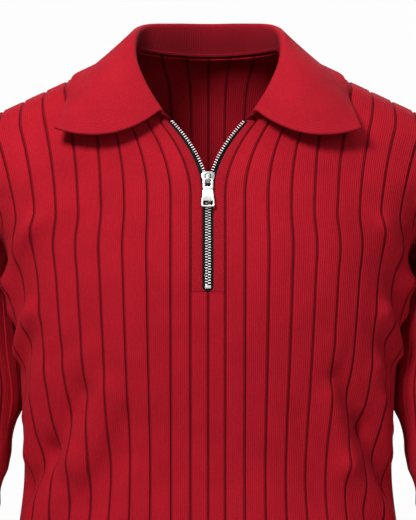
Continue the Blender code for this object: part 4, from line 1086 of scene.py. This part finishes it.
def solid_from(name, loops, bevel, segments=3, frame_matrix=None):
    """A solid through closed loops with flat ends, with its edges rounded."""
    count = len(loops[0])
    points = [tuple(point) for loop in loops for point in loop]
    faces = [tuple(range(count))[::-1], tuple(range(len(points) - count, len(points)))]
    for row in range(len(loops) - 1):
        for step in range(count):
            a, b = row * count + step, row * count + (step + 1) % count
            faces.append((a, b, b + count, a + count))
    mesh = bpy.data.meshes.new(name)
    mesh.from_pydata(points, [], faces)
    edit = bmesh.new()
    edit.from_mesh(mesh)
    bmesh.ops.recalc_face_normals(edit, faces=edit.faces)
    edit.to_mesh(mesh)
    edit.free()
    if frame_matrix is not None:
        mesh.transform(frame_matrix)
    made = placed(name, mesh)
    if bevel:
        round_edges(made, bevel, segments, 35)
    return made


def bevelled_box(name, size, bevel):
    x, y, z = (side / 2 for side in size)
    loops = [[(-x, -y, h), (x, -y, h), (x, y, h), (-x, y, h)] for h in (-z, z)]
    return finished(solid_from(name, loops, bevel, 2))


def plate(name, outline, low, high, bevel, frame_matrix):
    """A flat plate: an outline in X and Z, between two heights out of the cloth."""
    loops = [[(x, -out, z) for x, z in outline] for out in (low, high)]
    return solid_from(name, loops, bevel, 3, frame_matrix)


def mirrored(right):
    """The points of an outline's right side, in the other order on its left."""
    return [(-x, z) for x, z in reversed(right)]


def rounded(half_width, bottom, top, radius):
    """A rectangle's outline with round corners."""
    points, steps = [], 6
    for cx, cz, start in (
        (half_width - radius, top - radius, 0),
        (-half_width + radius, top - radius, 90),
        (-half_width + radius, bottom + radius, 180),
        (half_width - radius, bottom + radius, 270),
    ):
        for step in range(steps + 1):
            turn = math.radians(start + 90 * step / steps)
            points.append((cx + radius * math.cos(turn), cz + radius * math.sin(turn)))
    return points


def smooth_outline(points, steps):
    """A closed smooth outline through points."""
    count = len(points)
    out = []
    for index in range(count):
        p = [np.array(points[(index + k) % count]) for k in (-1, 0, 1, 2)]
        for step in range(steps):
            t = step / steps
            out.append(tuple(0.5 * (
                2 * p[1] + (p[2] - p[0]) * t + (2 * p[0] - 5 * p[1] + 4 * p[2] - p[3]) * t**2
                + (3 * p[1] - 3 * p[2] + p[3] - p[0]) * t**3
            )))
    return out


def cut(base, cutter):
    """The base with the cutter taken out of it."""
    boolean = base.modifiers.new("cut", "BOOLEAN")
    boolean.operation = "DIFFERENCE"
    boolean.object = cutter
    finished(base)
    bpy.data.objects.remove(cutter, do_unlink=True)
    return base


def joined(name, parts):
    """One object from several, keeping each one's faces."""
    vertices, faces, shift = [], [], 0
    for part in parts:
        finished(part)
        vertices += [tuple(v.co) for v in part.data.vertices]
        faces += [tuple(index + shift for index in f.vertices) for f in part.data.polygons]
        shift += len(part.data.vertices)
        bpy.data.objects.remove(part, do_unlink=True)
    mesh = bpy.data.meshes.new(name)
    mesh.from_pydata(vertices, [], faces)
    mesh.shade_smooth()
    mesh.set_sharp_from_angle(angle=math.radians(32))
    return placed(name, mesh)


def make_slider(matrix):
    right = [
        (0.0050, -0.0036), (0.0053, -0.0008), (0.0066, 0.0022), (0.0068, 0.0050),
        (0.0059, 0.0074), (0.0035, 0.0084),
    ]
    crown = smooth_outline([*right, (0.0, SLIDER_TOP), *mirrored(right), (0.0, -0.0040)], 3)
    wedge = [(0.0003, 0.0012), (0.0021, 0.0072), (-0.0021, 0.0072), (-0.0003, 0.0012)]
    inner, outer = 0.0012, 0.0022
    arch_top = [
        (-0.0046, PLATE_FRONT - 0.0004), (-0.0047, 0.0030), (-0.0040, 0.0046),
        (-0.0026, HINGE_OUT + outer), (0.0026, HINGE_OUT + outer), (0.0048, 0.0046),
        (0.0064, 0.0034), (0.0072, 0.0020), (0.0074, PLATE_FRONT - 0.0004),
        (0.0046, PLATE_FRONT - 0.0004), (0.0038, 0.0030), (0.0024, HINGE_OUT + inner),
        (-0.0018, HINGE_OUT + inner), (-0.0029, 0.0030), (-0.0030, PLATE_FRONT - 0.0004),
    ]
    arch_side = 0.0021
    loops = [[(x, -out, z) for z, out in arch_top] for x in (arch_side, -arch_side)]
    front = plate("slider_front", crown, -BEAD_FRONT + SEAM_GAP, PLATE_FRONT, 0.00055, matrix)
    for side in (-1, 1):  # the sunk lines that run down beside the arch
        low, high = sorted((side * arch_side, side * (arch_side + 0.0010)))
        line = [(low, -0.0042), (low, 0.0062), (high, 0.0056), (high, -0.0042)]
        front = cut(front, plate("line", line, PLATE_FRONT - 0.0011, PLATE_FRONT + 0.002, 0.0, matrix))
    parts = [
        front,
        plate("slider_back", crown, -BEAD_BACK - 0.0013, -BEAD_BACK - SEAM_GAP, 0.0004, matrix),
        plate("slider_wedge", wedge, -BEAD_BACK - 0.0010, PLATE_FRONT - 0.0003, 0.0, matrix),
        solid_from("slider_arch", loops, 0.0007, 4, matrix),
    ]
    return joined("zip_slider_cast", parts)


def make_pull(matrix):
    """The ring, the short neck and the tab with its slot, in one casting."""
    ring_side, window_side, slot_side = 0.0052, 0.0029, 0.0049
    half_thick, through = 0.00062, 0.004
    ring_line = rounded(ring_side, TAB_TOP + 0.0004, 0.0007, 0.0012)
    window = rounded(window_side, WINDOW_FOOT, -PIN_RADIUS, 0.0008)
    ring = plate("pull_ring", ring_line, -half_thick, half_thick, 0.0, matrix)
    ring = cut(ring, plate("hole", window, -through, through, 0.0, matrix))
    right = [(0.0045, TAB_TOP + 0.0010), (0.0045, TAB_TOP - 0.0014)]
    neck = plate("pull_neck", right + mirrored(right), -0.0005, -0.0001, 0.0, matrix)
    right = [
        (0.0047, TAB_TOP - 0.0004), (0.0052, TAB_TOP - 0.0008), (0.0068, -0.0262),
        (0.0068, -0.0272), (0.0062, -0.0282), (0.0052, -PULL_LENGTH),
    ]
    tab = plate("pull_tab", right + mirrored(right), -0.0009, 0.0013, 0.0, matrix)
    slot = rounded(slot_side, -0.0272, -0.0226, 0.0010)
    tab = cut(tab, plate("slot", slot, -through, through, 0.0, matrix))
    for part, width in ((ring, 0.0003), (tab, 0.00042)):
        round_edges(part, width, 3, 40)
    return joined("zip_pull_cast", [ring, tab, neck])


def make_stop():
    """The metal bar at the foot of the zip."""
    corners = [
        (-STOP_HALF, STOP_FRONT), (STOP_HALF, STOP_FRONT), (STOP_HALF, STOP_BACK), (-STOP_HALF, STOP_BACK)
    ]
    loops = [[(x, -out, z) for x, out in corners] for z in (-STOP_RISE, STOP_RISE)]
    return joined("zip_stop_cast", [solid_from("stop", loops, 0.0004, 3, zip_frame(ZIP_BOTTOM + 0.0050))])


# ---------------------------------------------------------------- materials
def linear(colour):
    """An sRGB hex colour as linear RGBA."""
    channels = [int(colour[place : place + 2], 16) / 255 for place in (1, 3, 5)]
    return (*[c / 12.92 if c <= 0.04045 else ((c + 0.055) / 1.055) ** 2.4 for c in channels], 1.0)


class Nodes:
    """A material's node tree with short calls to add nodes and links."""

    def __init__(self, name):
        self.material = bpy.data.materials.new(name)
        self.material.use_nodes = True
        self.tree = self.material.node_tree
        self.shader = self.tree.nodes["Principled BSDF"]

    def add(self, kind, links=None, **settings):
        """A node; settings are its properties or, for real input names, their values."""
        node = self.tree.nodes.new(kind)
        for key, value in settings.items():
            setattr(node, key, value)
        for key, value in (links or {}).items():
            if isinstance(value, bpy.types.NodeSocket):
                self.tree.links.new(value, node.inputs[key])
            else:
                node.inputs[key].default_value = value
        return node

    def math(self, operation, *values):
        links = dict(enumerate(values))
        return self.add("ShaderNodeMath", links, operation=operation).outputs[0]

    def mix(self, factor, first, second):
        """A colour between two; 6, 7 and 2 are the node's colour sockets."""
        node = self.add("ShaderNodeMix", {0: factor, 6: first, 7: second}, data_type="RGBA")
        return node.outputs[2]

    def noise(self, place, scale, detail=2.0):
        links = {"Vector": place, "Scale": scale, "Detail": detail}
        return self.add("ShaderNodeTexNoise", links).outputs[0]

    def bump(self, strength, distance, height):
        links = {"Strength": strength, "Distance": distance, "Height": height}
        return self.add("ShaderNodeBump", links).outputs[0]

    def place(self):
        """The piece's own coordinates."""
        return self.add("ShaderNodeTexCoord").outputs["Object"]

    def mask(self, name):
        return self.add("ShaderNodeAttribute", attribute_name=name).outputs["Fac"]

    def cloth(self):
        """The cloth's UV in metres, whole, across and along."""
        uv = self.add("ShaderNodeUVMap", uv_map="cloth_metres").outputs[0]
        parts = self.add("ShaderNodeSeparateXYZ", {0: uv}).outputs
        return uv, parts[0], parts[1]

    def set(self, **values):
        for key, value in values.items():
            socket = self.shader.inputs[key.replace("_", " ")]
            if isinstance(value, bpy.types.NodeSocket):
                self.tree.links.new(value, socket)
            else:
                socket.default_value = value


def knit_material(
    name, yarn, deep, wale=WALE_PITCH, course=COURSE_PITCH, wale_depth=0.34, painted_shade_amount=0.08
):
    """Fine-gauge knit in dyed cotton-rich yarn: columns of V stitches, a faint fuzz, slight colour drift
    along the yarn, and painted shade between the stitches, in the channels between the ribs and inside."""
    n = Nodes(name)
    uv, across, along = n.cloth()
    drift = n.noise(uv, 260.0, 3.0)
    u = n.math("MULTIPLY_ADD", n.math("SUBTRACT", drift, 0.5), wale * 0.35, across)
    wales = n.math("DIVIDE", u, wale)
    in_wale = n.math("ABSOLUTE", n.math("SUBTRACT", n.math("FRACT", wales), 0.5))  # 0 mid, .5 edge
    slant = n.math("MULTIPLY_ADD", in_wale, 1.5, n.math("DIVIDE", along, course))
    leg = n.math("COSINE", n.math("MULTIPLY", slant, 2 * math.pi))
    crest = n.math("COSINE", n.math("MULTIPLY", in_wale, 2 * math.pi))
    height = n.math("MULTIPLY_ADD", leg, 0.16, n.math("MULTIPLY", crest, 0.5))
    height = n.math("MULTIPLY_ADD", n.noise(uv, 2600.0, 4.0), 0.22, height)
    broad = n.math("MULTIPLY_ADD", n.noise(uv, 30.0, 5.0), 0.50, -0.37)
    uneven = n.math("MULTIPLY_ADD", n.noise(uv, 420.0, 3.0), 0.60, broad)
    mottled = n.mix(uneven, linear(yarn), linear(deep))
    # painted shade in the hollows between the wales and along the stitch legs, with random colour drift
    stitch_shade_and_drift = n.math("MULTIPLY_ADD", crest, -0.08, n.math("MULTIPLY_ADD", leg, -0.05, 0.20))
    stitch_shade_and_drift = n.math("MULTIPLY_ADD", drift, 0.16, stitch_shade_and_drift)
    shaded = n.mix(stitch_shade_and_drift, mottled, linear(deep))
    # painted shade in the channels between the ribs and in the placket's seam, from the groove mask
    colour = n.mix(n.math("MULTIPLY", n.mask("groove"), 0.86), shaded, linear("#45030b"))
    # painted shade on the inner faces, the collar's stand and the neck tape, from the inside mask
    colour = n.mix(n.math("MULTIPLY", n.mask("inside"), painted_shade_amount), colour, linear("#5a0610"))
    n.set(Base_Color=colour, Roughness=0.88, Normal=n.bump(1.0, wale_depth / 1000, height))
    n.set(Specular_IOR_Level=0.08, Sheen_Weight=0.07, Sheen_Roughness=0.45, Sheen_Tint=linear("#ff6a78"))
    return n.material


def tape_material():
    """Woven polyester zip tape, dyed black: a fine twill."""
    n = Nodes("black_polyester_zip_tape")
    _, across, along = n.cloth()
    slant = n.math("ADD", n.math("DIVIDE", across, TWILL_PITCH), n.math("DIVIDE", along, TWILL_PITCH))
    twill = n.math("SINE", n.math("MULTIPLY", slant, 2 * math.pi))
    colour = n.mix(n.math("MULTIPLY_ADD", twill, 0.3, 0.3), linear("#050809"), linear("#12181a"))
    n.set(Base_Color=colour, Roughness=0.72, Normal=n.bump(0.6, 0.00018, twill))
    n.set(Specular_IOR_Level=0.2, Sheen_Weight=0.02)
    return n.material


def thread_material():
    """Spun polyester sewing thread, dyed to the knit: a twist of fine plies."""
    n = Nodes("dark_red_polyester_thread")
    plies = n.noise(n.place(), 4000.0)
    n.set(Base_Color=n.mix(plies, linear("#5a0810"), linear("#8e1420")), Roughness=0.7)
    n.set(Specular_IOR_Level=0.2)
    return n.material


def metal_material(name, colour, roughness, scratches):
    """Nickel-plated zinc die casting, polished, with faint rubbing marks."""
    n = Nodes(name)
    place = n.place()
    rubbed = n.bump(scratches, 0.00005, n.noise(place, 900.0, 5.0))
    rough = n.math("MULTIPLY_ADD", n.noise(place, 160.0), 0.16, roughness)
    n.set(Base_Color=linear(colour), Metallic=1.0, Roughness=rough, Normal=rubbed)
    return n.material


def floor_material():
    """Matt white studio floor."""
    n = Nodes("matt_white_studio_floor")
    grain = n.noise(n.place(), 40.0)
    n.set(Base_Color=n.mix(grain, linear("#ececec"), linear("#f2f2f2")), Roughness=0.9)
    return n.material


# ---------------------------------------------------------------- camera, light and floor
def make_stage():
    camera = placed("camera", bpy.data.cameras.new("camera"))
    camera.location = (0.0, CHEST_FRONT - CAMERA_DISTANCE, CAMERA_HEIGHT)
    camera.rotation_euler = (math.radians(90), 0, 0)
    camera.data.sensor_width = SENSOR
    camera.data.lens = SENSOR * CAMERA_DISTANCE / PICTURE_HEIGHT
    camera.data.clip_start, camera.data.clip_end = 0.05, 60.0
    bpy.context.scene.camera = camera

    for name, place, target, size, watts in SOFTBOXES:
        data = bpy.data.lights.new(name, "AREA")
        data.shape = "RECTANGLE"
        data.size, data.size_y = size
        data.energy = watts
        lamp = placed(name, data)
        lamp.location = place
        lamp.rotation_euler = (Vector(target) - Vector(place)).to_track_quat("-Z", "Y").to_euler()

    world = bpy.data.worlds.new("studio")
    bpy.context.scene.world = world
    world.use_nodes = True
    backdrop = world.node_tree.nodes["Background"]
    backdrop.inputs["Color"].default_value = linear("#fdfdfd")
    backdrop.inputs["Strength"].default_value = 1.0
    # the walls light the cloth less than they show behind it
    soft = world.node_tree.nodes.new("ShaderNodeBackground")
    soft.inputs["Color"].default_value = linear("#ffffff")
    soft.inputs["Strength"].default_value = WALL_LIGHT
    path = world.node_tree.nodes.new("ShaderNodeLightPath")
    mix = world.node_tree.nodes.new("ShaderNodeMixShader")
    link = world.node_tree.links.new
    seen = world.node_tree.nodes.new("ShaderNodeMath")
    seen.operation = "MULTIPLY_ADD"
    link(path.outputs["Is Glossy Ray"], seen.inputs[0])
    seen.inputs[1].default_value = WALL_GLOSS
    link(path.outputs["Is Camera Ray"], seen.inputs[2])
    link(seen.outputs[0], mix.inputs[0])
    link(soft.outputs[0], mix.inputs[1])
    link(backdrop.outputs[0], mix.inputs[2])
    link(mix.outputs[0], world.node_tree.nodes["World Output"].inputs["Surface"])

    bpy.ops.mesh.primitive_circle_add(
        vertices=96, radius=FLOOR_RADIUS, fill_type="NGON", location=(0, 0, FLOOR_HEIGHT)
    )
    floor = bpy.context.object
    floor.name = "studio_floor"
    floor.data.materials.append(floor_material())
    bpy.context.scene.view_settings.view_transform = "Standard"
    bpy.context.scene.view_settings.look = "None"


# ---------------------------------------------------------------- putting it together
def use(obj, body, slot, material, *nodes):
    """Gives a piece its material, its body, and the solids it stands for; slot is not used."""
    obj.data.materials.clear()
    obj.data.materials.append(material)
    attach(obj, body)
    if nodes:
        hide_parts(*nodes)
    return obj


def main():
    make_stage()
    knit = knit_material("red_cotton_rib_knit", "#cb1c2e", "#780a16")
    # the collar knit carries strong painted shade on the stand and the neck tape
    flat_knit = knit_material("red_cotton_collar_knit", "#cd1f31", "#780a16", 0.0019, 0.0015, 0.42, 0.85)
    band_knit = knit_material("red_cotton_placket_knit", "#bd1a2a", "#720a15", 0.0017, 0.0015, 0.32)
    tape = tape_material()
    thread = thread_material()
    # the slider body's nickel is given a darker colour than the pull and the teeth: painted shade
    metal = metal_material("nickel_plated_zip_body", "#a6a7a6", 0.30, 0.05)
    pull_metal = metal_material("nickel_plated_zip_pull", "#e6e6e4", 0.26, 0.05)
    teeth_metal = metal_material("nickel_plated_zip_teeth", "#f4f4f2", 0.26, 0.06)

    tree = body_tree()
    front = use(make_panel("front_knit", -1), "garment", "red_knit", knit, "front")
    back = use(make_panel("back_knit", 1), "garment", "red_knit", knit, "back")
    for side, half in (("left", 1), ("right", -1)):
        sleeve = make_sleeve("sleeve_%s_knit" % side, half, tree)
        use(sleeve, "garment", "red_knit", knit, "sleeve_" + side)
    edge = neckline()
    collar, inside = make_collar(tree, edge)
    use(collar, "garment", "red_collar_knit", flat_knit, "collar")
    use(make_neck_tape(inside), "garment", "red_collar_knit", flat_knit, "neck_tape")
    for side, half in (("left", 1), ("right", -1)):
        band = make_placket("placket_%s_knit" % side, half)
        use(band, "garment", "red_collar_knit", band_knit, "placket_" + side)
        woven = make_tape("zip_tape_%s_woven" % side, half)
        use(woven, "garment", "black_zip_tape", tape, "zip_tape_" + side)
    matrix = zip_frame(SLIDER_HEIGHT)
    use(make_slider(matrix), "garment", "nickel_zip_metal", metal, "zip_slider")
    hinge = matrix @ Matrix.Translation((0.0, -HINGE_OUT, 0.0))
    use(make_pull(hinge), "pull", "nickel_zip_metal", pull_metal, "zip_pull")
    tooth = bevelled_box("tooth", TOOTH_SIZE, 0.00050)
    use(scatter("zip_teeth", tooth, tooth_seats()), "garment", "nickel_zip_metal", teeth_metal)
    stitch = bevelled_box("stitch", STITCH_SIZE, 0.00014)
    use(scatter("placket_stitches", stitch, stitch_seats()), "garment", "red_knit", thread)
    use(make_stop(), "garment", "nickel_zip_metal", teeth_metal, "zip_stop")


main()
